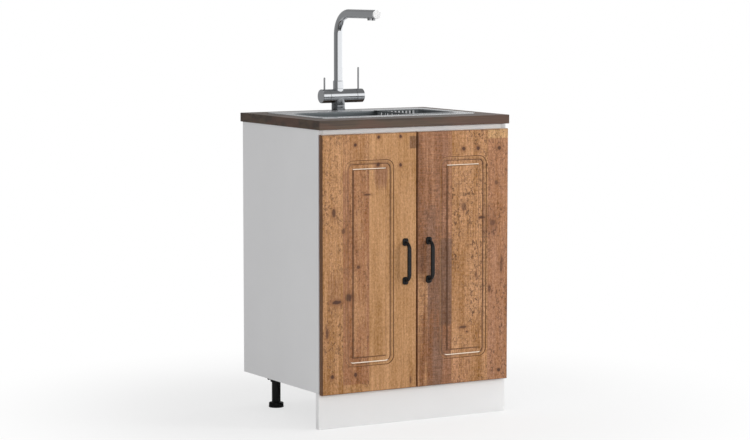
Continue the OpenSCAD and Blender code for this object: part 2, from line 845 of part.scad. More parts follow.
// A fine ring in the outlet pipe marks how far it goes into its nut
module outlet_pipe() {
    y0 = socket_end - socket_deep + slip;
    mark_y = socket_end + washer_t + nut_face + slip;
    mark_w = 0.8;
    mark_t = 0.4;
    color("white") translate([drain_x, y0, outlet_z]) rotate([-90, 0, 0]) difference() {
        pipe(pipe_d / 2, pipe_d / 2 - pipe_wall, outlet_end - y0);
        translate([0, 0, mark_y - y0]) pipe(pipe_d, pipe_d / 2 - mark_t, mark_w);
    }
}

module tap_seal() {
    color("#202020") translate([tap_at[0], tap_at[1], z_top])
        pipe(pedestal_d / 2 - seat, shank_d / 2 + slip, seal_tap);
}

module tap_pedestal() {
    color("silver") translate([tap_at[0], tap_at[1], z_top + seal_tap])
        pipe(pedestal_d / 2, shank_d / 2 + slip, pedestal_h);
}

// Cast body: a short stem under a lying cylinder, bored for the cartridges and for the spout
module tap_body() {
    color("silver") translate([tap_at[0], tap_at[1], 0]) difference() {
        union() {
            upright(stem_z, body_at, pedestal_d / 2);
            translate([-body_left, 0, body_at]) rotate([0, 90, 0])
                cylinder(d = body_d, h = body_left + body_right);
            upright(body_at, boss_z, collar_d / 2);
        }
        for (x = [-body_left - 1, body_right - cartridge_len]) translate([x, 0, body_at]) rotate([0, 90, 0])
            cylinder(r = cartridge_r + slip, h = cartridge_len + 1);
        for (s = [-1, 1]) translate([s * inlet_x, inlet_y, 0])
            upright(stem_z - 1, stem_z + inlet_seat, inlet_r + slip);
        upright(spout_foot - 1, boss_z + 1, spout_d / 2 + slip);
        upright(stem_z - 1, stem_z + shank_seat, shank_d / 2 + slip);
    }
}

module tap_shank() {
    shank_wall = 3;
    color("silver") translate([tap_at[0], tap_at[1], shank_z])
        pipe(shank_d / 2, shank_d / 2 - shank_wall, stem_z + shank_seat - slip - shank_z);
}

// Steel washer and hexagon nut that pull the tap down on the worktop
module tap_nut() {
    washer = 3;
    hex_h = 14;
    hex_r = shank_d / 2 + 7;
    color("goldenrod") translate([tap_at[0], tap_at[1], cab_h]) {
        translate([0, 0, -washer]) pipe(hex_r, shank_d / 2 + slip, washer);
        translate([0, 0, -washer - hex_h]) difference() {
            cylinder(r = hex_r, h = hex_h, $fn = 6);
            translate([0, 0, -1]) cylinder(r = shank_d / 2 + slip, h = hex_h + 2);
        }
    }
}

// Two copper tails with a thicker end for the supply
module tap_inlets() {
    top = stem_z + inlet_seat - slip;
    tail_wall = 1;
    color("peru") for (x = [-inlet_x, inlet_x]) translate(tap_at + [x, inlet_y]) difference() {
        union() {
            upright(inlet_z, top, inlet_r);
            upright(inlet_z, inlet_z + inlet_end, inlet_end_r);
        }
        upright(inlet_z - 1, top + 1, inlet_r - tail_wall);
    }
}

// A valve cartridge whose spindle carries a turning cap, along +X
module cartridge() {
    rotate([0, 90, 0]) {
        cylinder(r = cartridge_r, h = cartridge_len);
        cylinder(r = spindle_r, h = cartridge_len + cap_gap + spindle_len);
    }
}

module tap_cartridges() {
    color("dimgray") translate([tap_at[0], tap_at[1], body_at]) {
        translate([body_right - cartridge_len, 0, 0]) cartridge();
        mirror([1, 0, 0]) translate([body_left - cartridge_len, 0, 0]) cartridge();
    }
}

// A turning cap along +X that holds a lever rod in its top
module lever_cap() {
    bore = spindle_r + slip / 2;
    edge = 1.2;
    color("silver") difference() {
        rotate([0, 90, 0]) rotate_extrude() polygon([[bore, 0], [body_d / 2, 0], [body_d / 2, cap_len - edge],
            [body_d / 2 - edge, cap_len], [0, cap_len], [0, spindle_len + slip], [bore, spindle_len + slip]]);
        translate([cap_len / 2, 0, body_d / 2 - rod_seat]) cylinder(r = rod_d / 2 + slip / 2, h = body_d);
    }
}

module lever_cap_left() {
    translate([tap_at[0] - body_left - cap_gap, tap_at[1], body_at]) mirror([1, 0, 0]) lever_cap();
}

module lever_cap_right() {
    translate([tap_at[0] + body_right + cap_gap, tap_at[1], body_at]) lever_cap();
}

// Thin rod with a round tip, x beside the tap's axis
module lever_rod(x, len) {
    root = body_at + body_d / 2;
    top = root + len - rod_d / 2;
    color("silver") translate([tap_at[0] + x, tap_at[1], 0]) {
        upright(root - rod_seat, top, rod_d / 2);
        translate([0, 0, top]) sphere(d = rod_d);
    }
}

module lever_rod_left() { lever_rod(-body_left - cap_gap - cap_len / 2, rod_left); }
module lever_rod_right() { lever_rod(body_right + cap_gap + cap_len / 2, rod_right); }

module spout_collar() {
    bore = spout_d / 2 + slip;
    r = collar_d / 2;
    edge = 1.5;
    color("silver") translate([tap_at[0], tap_at[1], boss_z]) rotate_extrude()
        polygon([[bore, 0], [r, 0], [r, collar_h - edge], [r - edge, collar_h], [bore, collar_h]]);
}

// The spout's centre line: up, a quarter bend and out to the front, with radius r
module spout_run(r, foot_z, reach) {
    translate([tap_at[0], tap_at[1], 0]) {
        upright(foot_z, spout_axis - spout_bend, r);
        translate([0, -spout_bend, spout_axis - spout_bend]) rotate([90, 0, 90])
            rotate_extrude(angle = 90) translate([spout_bend, 0]) circle(r);
        translate([0, -spout_bend, spout_axis]) rotate([90, 0, 0]) cylinder(r = r, h = reach - spout_bend);
    }
}

module spout() {
    color("silver") difference() {
        spout_run(spout_d / 2, spout_foot, spout_reach - end_t);
        spout_run(spout_d / 2 - spout_wall, spout_foot - 1, spout_reach - end_t + 1);
        for (n = nozzle_at) translate([tap_at[0], tap_at[1] - n, spout_axis - spout_d])
            cylinder(r = nozzle_r + slip, h = spout_d, $fn = 32);
    }
}

module spout_end() {
    edge = 0.8;
    plug = 6;
    r = spout_d / 2;
    color("whitesmoke") translate([tap_at[0], tap_at[1] - spout_reach, spout_axis]) rotate([-90, 0, 0]) {
        rotate_extrude() polygon([[0, 0], [r - edge, 0], [r, edge], [r, end_t], [0, end_t]]);
        cylinder(r = r - spout_wall - slip, h = end_t + plug);
    }
}

module spout_nozzles() {
    wall = 1.5;
    color("silver") for (n = nozzle_at)
        translate([tap_at[0], tap_at[1] - n, spout_axis - spout_d / 2 - nozzle_h])
            pipe(nozzle_r, nozzle_r - wall, nozzle_h + nozzle_in);
}

// A flat outline cut into a door's front to the given depth, centred on the left door
module door_cut(depth) {
    translate([hinge_edge + door_w / 2, door_front + depth, door_z + door_h / 2])
        rotate([90, 0, 0]) linear_extrude(depth + 1) children();
}

module door_inset(d, r) {
    round_rect(door_w - 2 * d, door_h - 2 * d, r);
}

// Left door: round long edges, a stepped frame, a sunk channel and a raised panel
module door() {
    panel = frame_w + bead_w + channel_w;
    difference() {
        translate([hinge_edge, door_front, door_z]) linear_extrude(door_h) {
            for (x = [door_edge_r, door_w - door_edge_r]) translate([x, door_edge_r]) circle(door_edge_r);
            translate([door_edge_r, 0]) square([door_w - 2 * door_edge_r, door_t]);
            translate([0, door_edge_r]) square([door_w, door_t - door_edge_r]);
        }
        door_cut(step_1) difference() {
            door_inset(frame_w, step_r);
            square([door_w - 2 * panel, door_h - 2 * panel], center = true);
        }
        door_cut(step_2) difference() {
            door_inset(frame_w + bead_w, step_r / 2);
            square([door_w - 2 * panel, door_h - 2 * panel], center = true);
        }
        for (z = hinge_zs) translate([cup_mid[0], door_back + 1, z]) rotate([90, 0, 0])
            cylinder(d = cup_d + 2 * slip, h = cup_h + slip + 1);
        for (z = handle_zs) translate([-handle_x, door_back + 1, z]) rotate([90, 0, 0])
            cylinder(r = screw_r + ease, h = door_t + 2, $fn = 32);
    }
}

module door_left() { color("burlywood") door(); }
module door_right() { color("burlywood") mirror([1, 0, 0]) door(); }

// Side view of the bow: the space between two round-cornered outlines, open towards the door
module bow_side() {
    long = handle_reach + 2 * bow_r;
    translate([long / 2 - handle_reach, 0]) difference() {
        round_rect(long, handle_pitch + handle_t, bow_r);
        translate([handle_t, 0]) round_rect(long, handle_pitch - handle_t, bow_r - handle_t);
    }
}

// Front view of the bow: full width at the grip, narrower towards both feet
module bow_front() {
    end = handle_pitch / 2 + handle_t;
    polygon([for (v = [[1, -grip_half], [1, grip_half], [bow_taper, end], [-bow_taper, end], [-1, grip_half],
        [-1, -grip_half], [-bow_taper, -end], [bow_taper, -end]]) [v[0] * handle_w / 2, v[1]]]);
}

// A bow handle with two oblong feet, each with a small dome
module handle() {
    translate([-handle_x, door_front, handle_z]) difference() {
        union() {
            intersection() {
                translate([-handle_w, 0, 0]) rotate([90, 0, 90]) linear_extrude(2 * handle_w) bow_side();
                rotate([90, 0, 0]) linear_extrude(handle_reach + 1) bow_front();
            }
            for (s = [-1, 1]) translate([0, 0, s * handle_pitch / 2]) {
                rotate([90, 0, 0]) linear_extrude(pad_t) round_rect(pad_w, pad_h, pad_r);
                translate([0, -pad_t, s * pad_dome_at]) sphere(r = pad_dome_r);
            }
        }
        for (s = [-1, 1]) translate([0, 1, s * handle_pitch / 2]) rotate([90, 0, 0])
            cylinder(r = screw_r + slip / 2, h = screw_grip + 1);
    }
}

module handle_left() { color("#202020") handle(); }
module handle_right() { color("#202020") mirror([1, 0, 0]) handle(); }

// Pan-head screws from inside the door into the handle's feet
module handle_screws() {
    head_r = 2 * screw_r;
    head_h = 1.1 * screw_r;
    color("silver") for (z = handle_zs) translate([-handle_x, door_back, z]) rotate([90, 0, 0]) {
        cylinder(r = screw_r, h = door_t + screw_grip - seat);
        translate([0, 0, -head_h]) cylinder(r = head_r, h = head_h);
    }
}

module handle_screws_left() { handle_screws(); }
module handle_screws_right() { mirror([1, 0, 0]) handle_screws(); }

// Soft pads that the doors close against
module door_bumpers() {
    t = door_gap - seat;
    pad_r = 3.5;
    pad_x = x_l + board_t - pad_r - 0.5;
    pad_z = door_z + door_h - 30;
    from_mid = 20;
    color("white") both_sides() {
        translate([pad_x, y_f, pad_z]) rotate([90, 0, 0]) cylinder(r = pad_r, h = t);
        translate([-from_mid, y_f, leg_h + board_t / 2]) rotate([90, 0, 0]) cylinder(r = pad_r, h = t);
    }
}

// Repeats one left hinge piece at both hinge heights
module at_hinges() {
    for (z = hinge_zs) translate([0, 0, z]) children();
}

// Mounting plates on the side panels: two wings and a raised rib under the arm
module hinge_plates() {
    x0 = x_l + board_t;
    wing = [plate_t, 18, 52];
    rib_y = 14;
    rib_l = arm_y + arm_len - rib_y - 4;
    hole_z = 16;
    color("silver") both_sides() at_hinges() difference() {
        union() {
            translate([x0, y_f + plate_y - wing[1] / 2, -wing[2] / 2]) cube(wing);
            translate([x0, y_f + rib_y, -rib_half]) cube([plate_t + rib_h, rib_l, 2 * rib_half]);
        }
        for (s = [-1, 1]) translate([x0 - 1, y_f + plate_y, s * hole_z]) rotate([0, 90, 0])
            cylinder(r = wood_screw_r, h = plate_t + 2);
    }
}

// Channel-shaped arms with two cheeks, a web and a stub pin inside each cheek's nose
module hinge_arms() {
    x0 = x_l + board_t + plate_t;
    x1 = arm_at[0] + web_x;
    y1 = arm_at[1] + arm_len;
    nose = 4;
    web_y = arm_at[1] + web_from;
    cheek_y = arm_at[1] + 2 * nose;
    bolt_l = x1 - x0 - rib_h;
    color("silver") both_sides() at_hinges() {
        for (s = [0, 1]) mirror([0, 0, s]) {
            translate([0, 0, cheek_z]) linear_extrude(sheet_t) {
                translate(arm_at) circle(nose);
                translate([arm_at[0] - nose, arm_at[1]]) square([2 * nose, 2 * nose + 2]);
                translate([x0, cheek_y]) square([x1 - x0, y1 - cheek_y]);
            }
            translate([arm_at[0], arm_at[1], fork_z - ease])
                cylinder(r = pin_r, h = cheek_z - fork_z + 2 * ease);
        }
        translate([x1 - sheet_t, web_y, -cheek_z - ease]) cube([sheet_t, y1 - web_y, 2 * (cheek_z + ease)]);
        translate([x0 + rib_h, y_f + plate_y, 0]) rotate([0, 90, 0]) {
            cylinder(r = wood_screw_r, h = bolt_l);
            translate([0, 0, bolt_l]) cylinder(r = bolt_head_r, h = bolt_head_h);
        }
    }
}

// Cup, its wings on the door's back, the pin across its mouth and a notch that the open link runs through
module hinge_cups() {
    r = cup_d / 2;
    rise = wing_t + 1;
    color("silver") at_hinges() {
        translate([cup_mid[0], door_back, 0]) rotate([90, 0, 0]) difference() {
            union() {
                cylinder(r = r, h = cup_h);
                translate([0, 0, -wing_t]) cylinder(r = r + cup_lip, h = wing_t);
                translate([-1, -wing_l / 2, -wing_t]) cube([wing_w, wing_l, wing_t]);
            }
            translate([0, 0, -rise]) cylinder(r = r - cup_wall, h = cup_h + rise - cup_floor);
            translate([-r - cup_lip - 1, -fork_z - 1, -rise]) cube([r / 2, 2 * fork_z + 2, rise + cup_notch]);
            for (s = [-1, 1]) translate([wing_w / 2 - 1, s * (wing_l / 2 - 5), -rise])
                cylinder(r = screw_r + ease, h = rise + 1);
        }
        translate([cup_at[0], cup_at[1], -pin_half]) cylinder(r = pin_r, h = 2 * pin_half);
    }
}

module hinge_cups_left() { hinge_cups(); }
module hinge_cups_right() { mirror([1, 0, 0]) hinge_cups(); }

// Rear link: two plates that turn on the arm's stub pins and carry the elbow pin
module rear_links() {
    color("darkgray") at_hinges() {
        for (s = [0, 1]) mirror([0, 0, s]) translate([0, 0, fork_z]) difference() {
            union() {
                bar(arm_at, elbow_at, link_half_w, link_t);
                for (p = [arm_at, elbow_at]) translate(p) cylinder(r = eye_r, h = link_t);
            }
            translate([arm_at[0], arm_at[1], -1]) cylinder(r = pin_r + pin_c, h = link_t + 2);
        }
        translate([elbow_at[0], elbow_at[1], -fork_z - link_t])
            cylinder(r = pin_r, h = 2 * (fork_z + link_t));
    }
}

module rear_links_left() { rear_links(); }
module rear_links_right() { mirror([1, 0, 0]) rear_links(); }

// Front link: a bar between the elbow pin and the cup's pin
module front_links() {
    half = fork_z - side_play;
    color("darkgray") at_hinges() translate([0, 0, -half]) difference() {
        union() {
            bar(cup_at, elbow_at, bar_half_w, 2 * half);
            for (p = [cup_at, elbow_at]) translate(p) cylinder(r = eye_r, h = 2 * half);
        }
        for (p = [cup_at, elbow_at]) translate([p[0], p[1], -1])
            cylinder(r = pin_r + pin_c, h = 2 * half + 2);
    }
}

module front_links_left() { front_links(); }
module front_links_right() { mirror([1, 0, 0]) front_links(); }

side_left();
side_right();
bottom_panel();
front_rail();
rear_rail();
low_rear_rail();
cam_fittings();
plinth();
plinth_clips();
leg_sockets();
leg_tubes();
foot_front_left();
foot_front_right();
foot_rear_left();
foot_rear_right();
worktop();
worktop_brackets();
sink();
sink_gasket();
sink_clamps();
strainer_insert();
waste_flange();
waste_seals();
waste_body();
waste_basket();
tail_pipe();
pipe_nuts();
trap_body();
trap_cup();
outlet_pipe();
tap_seal();
tap_pedestal();
tap_body();
tap_shank();
tap_nut();
tap_inlets();
tap_cartridges();
lever_cap_left();
lever_cap_right();
lever_rod_left();
lever_rod_right();
spout_collar();
spout();
spout_end();
spout_nozzles();
door_left();
door_right();
handle_left();
handle_right();
handle_screws_left();
handle_screws_right();
door_bumpers();
hinge_plates();
hinge_arms();
hinge_cups_left();
hinge_cups_right();
rear_links_left();
rear_links_right();
front_links_left();
front_links_right();
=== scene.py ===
"""Looks of the kitchen sink unit: boards, framed doors, worktop, sink, colander, waste and mixer tap."""

import json
import logging
import math
from dataclasses import dataclass
from enum import Enum
from typing import Optional, Sequence, Union

import bmesh
import bpy
from mathutils import Matrix, Vector


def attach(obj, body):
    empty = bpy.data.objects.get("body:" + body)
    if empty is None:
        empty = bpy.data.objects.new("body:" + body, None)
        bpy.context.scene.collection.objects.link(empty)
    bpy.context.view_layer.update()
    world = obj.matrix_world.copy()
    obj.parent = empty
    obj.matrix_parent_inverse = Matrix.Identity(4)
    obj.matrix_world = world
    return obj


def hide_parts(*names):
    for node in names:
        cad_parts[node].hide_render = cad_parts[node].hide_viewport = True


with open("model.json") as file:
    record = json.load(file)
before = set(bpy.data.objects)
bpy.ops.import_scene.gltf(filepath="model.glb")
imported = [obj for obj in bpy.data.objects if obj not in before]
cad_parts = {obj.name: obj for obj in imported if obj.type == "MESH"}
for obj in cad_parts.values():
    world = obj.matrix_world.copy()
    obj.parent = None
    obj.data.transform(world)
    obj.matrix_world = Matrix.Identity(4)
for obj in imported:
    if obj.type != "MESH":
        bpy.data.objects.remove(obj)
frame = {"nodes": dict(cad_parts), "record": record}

LOG = logging.getLogger("sink_unit")
MM = 0.001
WELD = 0.000002
Colour = tuple[float, float, float, float]
Triple = tuple[float, float, float]
Pair = tuple[float, float]
Ring = list[Vector]
Value = Union["Sock", float, int, Triple, Colour]
WHITE: Colour = (1.0, 1.0, 1.0, 1.0)


def paint(red: int, green: int, blue: int) -> Colour:
    """A colour from 0 to 255 as it looks on screen, turned to the linear values that shaders take."""
    lin = [((c / 255 + 0.055) / 1.055) ** 2.4 if c > 10 else c / 255 / 12.92 for c in (red, green, blue)]
    return lin[0], lin[1], lin[2], 1.0


# ---- Shader expressions


class Sock:
    """A value in a shader that Python's operators work on."""

    def __init__(self, shade: "Shade", link: bpy.types.NodeSocket) -> None:
        """Keeps the tree and the output that carries the value."""
        self.shade, self.link = shade, link

    def maths(self, operation: str, *terms: Value) -> "Sock":
        """Adds one Math node that works on the given terms."""
        return self.shade.node("ShaderNodeMath", {"operation": operation}, dict(enumerate(terms)))

    def __add__(self, other: Value) -> "Sock":
        """The sum."""
        return self.maths("ADD", self, other)

    __radd__ = __add__

    def __sub__(self, other: Value) -> "Sock":
        """The difference."""
        return self.maths("SUBTRACT", self, other)

    def __rsub__(self, other: Value) -> "Sock":
        """The difference from a plain number."""
        return self.maths("SUBTRACT", other, self)

    def __mul__(self, other: Value) -> "Sock":
        """The product."""
        return self.maths("MULTIPLY", self, other)

    __rmul__ = __mul__

    def __truediv__(self, other: Value) -> "Sock":
        """The quotient."""
        return self.maths("DIVIDE", self, other)

    def __abs__(self) -> "Sock":
        """The size without the sign."""
        return self.maths("ABSOLUTE", self)

    def __or__(self, other: Value) -> "Sock":
        """The larger of the two, which joins two masks."""
        return self.maths("MAXIMUM", self, other)

    def ease(self, low: float, high: float) -> "Sock":
        """A smooth step from 0 at low to 1 at high, or down where high is the smaller."""
        ends = {1: min(low, high), 2: max(low, high), 3: float(low > high), 4: float(high > low)}
        return self.shade.node("ShaderNodeMapRange", {"interpolation_type": "SMOOTHSTEP"}, {0: self, **ends})

    def between(self, low: float, high: float, soft: float) -> "Sock":
        """1 between low and high, with soft edges."""
        return self.ease(low - soft, low + soft) * self.ease(high + soft, high - soft)


class Shade:
    """The node tree of a material or a world, built node by node."""

    def __init__(self, owner: Union[bpy.types.Material, bpy.types.World]) -> None:
        """Empties the owner's tree.

        Args:
            owner: the material or world.
        """
        owner.use_nodes = True
        self.owner, self.tree = owner, owner.node_tree
        self.tree.nodes.clear()

    def node(self, kind: str, settings: dict, values: dict, out: Union[int, str] = 0) -> Sock:
        """Adds a node.

        Args:
            kind: the node's type.
            settings: its properties; stops fills a colour ramp.
            values: socket name or number to a value or another node's output.
            out: the output to return.

        Returns:
            That output.
        """
        made = self.tree.nodes.new(kind)
        for key, value in settings.items():
            if key == "stops":
                ramp = made.color_ramp.elements
                while len(ramp) < len(value):
                    ramp.new(0.5)
                for stop, (at, colour) in zip(ramp, value):
                    stop.position, stop.color = at, colour
            else:
                setattr(made, key, value)
        for key, value in values.items():
            if isinstance(value, Sock):
                self.tree.links.new(value.link, made.inputs[key])
            else:
                made.inputs[key].default_value = value
        return Sock(self, made.outputs[out])

    def place(self) -> Sock:
        """The point on the piece, in metres, in the frame of the whole unit."""
        return self.node("ShaderNodeTexCoord", {}, {}, "Object")

    def axes(self, vector: Sock) -> tuple[Sock, Sock, Sock]:
        """The three parts of a vector."""
        first = self.node("ShaderNodeSeparateXYZ", {}, {0: vector})
        return tuple(Sock(self, out) for out in first.link.node.outputs)

    def join(self, x: Value, y: Value, z: Value) -> Sock:
        """A vector from its three parts."""
        return self.node("ShaderNodeCombineXYZ", {}, {0: x, 1: y, 2: z})

    def stretch(self, vector: Sock, scale: Triple, shift: Value = (0.0, 0.0, 0.0)) -> Sock:
        """A vector times a scale on each axis, plus a shift."""
        terms = {0: vector, 1: scale, 2: shift}
        return self.node("ShaderNodeVectorMath", {"operation": "MULTIPLY_ADD"}, terms)

    def length(self, vector: Sock) -> Sock:
        """A vector's length."""
        return self.node("ShaderNodeVectorMath", {"operation": "LENGTH"}, {0: vector}, 1)

    def grain(self, vector: Sock, scale: Union[float, Triple], detail: float = 3.0, rough: float = 0.55,
              shift: Value = (0.0, 0.0, 0.0)) -> Sock:
        """Noise with one scale, or drawn out along the axes whose scale is small.

        Args:
            vector: the point.
            scale: one scale, or one for each axis.
            detail: how many octaves it has.
            rough: how much its fine octaves count.
            shift: a shift of the point.

        Returns:
            The noise from 0 to 1.
        """
        scales = scale if isinstance(scale, tuple) else (scale, scale, scale)
        place = self.stretch(vector, scales, shift)
        return self.node("ShaderNodeTexNoise", {}, {"Vector": place, "Scale": 1.0, "Detail": detail,
                                                    "Roughness": rough})

    def blend(self, share: Value, first: Value, second: Value) -> Sock:
        """A colour between two colours."""
        return self.node("ShaderNodeMix", {"data_type": "RGBA"}, {0: share, 6: first, 7: second}, 2)

    def lift(self, colour: Value, amount: Sock, way: str = "MULTIPLY") -> Sock:
        """A colour made lighter or darker by a factor around 1.

        Args:
            colour: the colour.
            amount: the factor, or the grey that is added.
            way: the mix node's blend type.

        Returns:
            The new colour.
        """
        settings = {"data_type": "RGBA", "blend_type": way, "clamp_result": way == "ADD"}
        grey = self.join(amount, amount, amount)
        return self.node("ShaderNodeMix", settings, {0: 1.0, 6: colour, 7: grey}, 2)

    def chalk(self, colour: Value, amount: Sock) -> Sock:
        """A colour with a little grey light added or taken away, as on a worn print."""
        return self.lift(colour, amount, "ADD")

    def bump(self, height: Sock, depth: float, strength: float = 1.0) -> Sock:
        """A surface normal from a height between 0 and 1, with its depth in metres."""
        values = {"Strength": strength, "Distance": depth, "Height": height}
        return self.node("ShaderNodeBump", {}, values, "Normal")

    def ray(self, kind: str) -> Sock:
        """1 where a ray of this kind sees the surface."""
        return self.node("ShaderNodeLightPath", {}, {}, f"Is {kind} Ray")

    def mixed(self, share: Value, first: Sock, second: Sock) -> Sock:
        """A shader between two shaders."""
        return self.node("ShaderNodeMixShader", {}, {0: share, 1: first, 2: second})

    def glow(self, colour: Value = WHITE) -> Sock:
        """A surface that shines at strength 1."""
        return self.node("ShaderNodeEmission", {}, {"Color": colour, "Strength": 1.0})

    def close(self, **sockets: Value) -> bpy.types.Material:
        """Ends the material in one surface shader.

        Args:
            **sockets: the shader's sockets, with underscores for blanks.

        Returns:
            The finished material.
        """
        values = {key.replace("_", " "): value for key, value in sockets.items()}
        self.end(self.node("ShaderNodeBsdfPrincipled", {}, values))
        return self.owner

    def end(self, shader: Sock, kind: str = "ShaderNodeOutputMaterial") -> None:
        """Links a shader to the tree's output node."""
        self.tree.links.new(shader.link, self.tree.nodes.new(kind).inputs[0])


# ---- Finishes


class Finish:
    """A finish that makes its material once and hands it out from then on."""

    name: str = "finish"
    made: dict[str, bpy.types.Material] = {}

    def draw(self, shade: Shade) -> bpy.types.Material:
        """Builds the material's nodes."""
        raise NotImplementedError

    def material(self) -> bpy.types.Material:
        """The finish's material.

        Returns:
            The material.
        """
        key = repr(self)
        if key not in Finish.made:
            Finish.made[key] = self.draw(Shade(bpy.data.materials.new(self.name)))
        return Finish.made[key]


@dataclass(frozen=True)
class BoardLaminate(Finish):
    """Melamine on chipboard with a faint pearl structure."""

    name: str = "board laminate"
    colour: Colour = paint(226, 226, 226)

    def draw(self, shade: Shade) -> bpy.types.Material:
        """Builds the material's nodes.

        Args:
            shade: the new material's tree.

        Returns:
            The finished material.
        """
        at = shade.place()
        pearl = shade.grain(at, 900.0, 2.0)
        cloud = shade.grain(at, 7.0, 2.0)
        tone = shade.lift(self.colour, cloud * 0.05 + pearl * 0.04 + 0.955)
        relief = shade.bump(pearl, 0.00006, 0.6)
        return shade.close(Base_Color=tone, Roughness=pearl * 0.12 + 0.4, Normal=relief)


@dataclass(frozen=True)
class WorktopLaminate(Finish):
    """Dark wood print with its grain along the worktop."""

    name: str = "worktop laminate"
    colour: Colour = paint(79, 63, 48)
    dark: Colour = paint(53, 41, 32)
    pale: Colour = paint(106, 88, 71)
    warm: Colour = paint(91, 61, 48)

    def draw(self, shade: Shade) -> bpy.types.Material:
        """Builds the material's nodes.

        Args:
            shade: the new material's tree.

        Returns:
            The finished material.
        """
        at = shade.place()
        broad = shade.grain(at, (2.2, 26.0, 60.0), 4.0, 0.6)
        streak = shade.grain(at, (6.0, 190.0, 420.0), 3.0, 0.6)
        pore = shade.grain(at, (26.0, 900.0, 1400.0), 2.0)
        tone = shade.blend(broad.ease(0.35, 0.62), self.dark, self.colour)
        tone = shade.blend(shade.grain(at, (5.0, 14.0, 14.0), 2.0).ease(0.5, 0.62) * 0.6, tone, self.warm)
        tone = shade.blend(streak.ease(0.5, 0.78) * 0.6, tone, self.pale)
        tone = shade.blend(pore.ease(0.42, 0.3) * 0.5, tone, self.dark)
        relief = shade.bump(streak * 0.6 + pore * 0.4, 0.00012, 0.7)
        return shade.close(Base_Color=tone, Roughness=streak * 0.15 + 0.36, Normal=relief)


class Tone(Enum):
    """Tones of the old boards that the doors' print shows; BARK also gives painted shade and STRAW a painted
    highlight on the frame, and GLINT is a painted highlight.
    """

    HONEY = paint(178, 128, 80)
    GOLD = paint(183, 134, 85)
    AMBER = paint(178, 128, 82)
    RUST = paint(163, 110, 71)
    UMBER = paint(140, 92, 58)
    PLUM = paint(107, 71, 46)
    RUSSET = paint(166, 114, 74)
    STRAW = paint(195, 151, 101)
    BARK = paint(78, 46, 29)
    GLINT = paint(255, 246, 230)


@dataclass(frozen=True)
class Plank:
    """One printed board: its left edge in mm, its tone, and how much its marks and saw lines show."""

    left: float
    tone: Tone
    marks: float
    saw: float


@dataclass(frozen=True)
class Patch:
    """A rectangle in mm with another tone: its share, its soft edge, and how torn its outline is."""

    x: Pair
    z: Pair
    tone: Tone
    share: float
    soft: float
    torn: float = 0.0


@dataclass(frozen=True)
class Knot:
    """A knot or nail hole: centre, half width and half height in mm, and how dark it is."""

    x: float
    z: float
    wide: float
    high: float
    share: float = 0.85


DOOR_FACE = -221.5
PLANKS = (
    Plank(-400, Tone.HONEY, 0.8, 0.3), Plank(-233, Tone.RUST, 0.6, 0.3), Plank(-152, Tone.GOLD, 0.16, 0.1),
    Plank(-0.5, Tone.UMBER, 0.6, 1.3), Plank(112, Tone.AMBER, 1.0, 0.8), Plank(231, Tone.RUSSET, 0.85, 0.4))
PATCHES = (
    Patch((-24, 6), (757, 791), Tone.PLUM, 0.75, 1.5),
    Patch((-233, -152), (60, 119), Tone.GOLD, 0.95, 1.2),
    Patch((231, 320), (776, 900), Tone.STRAW, 0.95, 1.2), Patch((74, 112), (262, 502), Tone.PLUM, 0.85, 5),
    Patch((30, 84), (60, 420), Tone.PLUM, 0.7, 16, 0.5),
    Patch((2, 34), (90, 410), Tone.HONEY, 0.75, 10, 0.6),
    Patch((-232, -206), (110, 556), Tone.UMBER, 0.55, 4, 0.3),
    Patch((-138, -84), (672, 738), Tone.UMBER, 0.5, 16, 0.5),
    Patch((-178, -152), (110, 780), Tone.UMBER, 0.4, 5, 0.5),
    Patch((12, 60), (590, 812), Tone.RUSSET, 0.5, 14, 0.5),
    Patch((231, 262), (520, 570), Tone.PLUM, 0.6, 10, 0.4),
    Patch((100, 112), (520, 812), Tone.RUSSET, 0.6, 4),
    Patch((-233, -152), (705, 900), Tone.HONEY, 0.75, 5),
    Patch((-233, -203), (119, 705), Tone.UMBER, 0.35, 5, 0.3),
    Patch((-212, -160), (130, 705), Tone.HONEY, 0.7, 8, 0.5),
    Patch((-132, -92), (655, 708), Tone.UMBER, 0.8, 14, 0.8),
    Patch((-280, -240), (330, 420), Tone.UMBER, 0.6, 20, 0.7),
    Patch((231, 300), (100, 520), Tone.UMBER, 0.4, 20, 0.4),
    Patch((112, 200), (80, 175), Tone.RUST, 0.5, 14, 0.5),
    Patch((215, 262), (500, 590), Tone.UMBER, 0.7, 16, 0.7),
    Patch((231, 300), (600, 745), Tone.RUST, 0.6, 14, 0.5),
    Patch((10, 60), (430, 600), Tone.PLUM, 0.45, 14, 0.5))
KNOTS = (
    Knot(-215, 358, 12, 11, 0.8), Knot(-252, 348, 15, 6, 0.9), Knot(-262, 590, 6, 13, 0.7),
    Knot(-283, 265, 5, 14, 0.6), Knot(-267, 145, 6, 6), Knot(-195, 145, 6, 6), Knot(-195, 772, 5, 5),
    Knot(-122, 791, 5, 5), Knot(-53, 791, 4, 5), Knot(-53, 713, 5, 5), Knot(-122, 716, 6, 6),
    Knot(-232, 540, 6, 8, 0.6), Knot(-158, 636, 12, 3, 0.7), Knot(150, 750, 6, 6), Knot(198, 750, 6, 6),
    Knot(268, 748, 6, 6), Knot(269, 122, 6, 5), Knot(213, 556, 12, 4, 0.8), Knot(246, 540, 11, 9, 0.55),
    Knot(276, 420, 5, 26, 0.45), Knot(237, 356, 5, 12, 0.6), Knot(149, 252, 14, 4, 0.7),
    Knot(163, 238, 4, 3, 0.8), Knot(192, 398, 5, 7, 0.5), Knot(-20, 118, 3, 12, 0.5),
    Knot(258, 652, 7, 7, 0.5), Knot(152, 590, 9, 12, 0.5), Knot(-186, 440, 6, 5, 0.7))


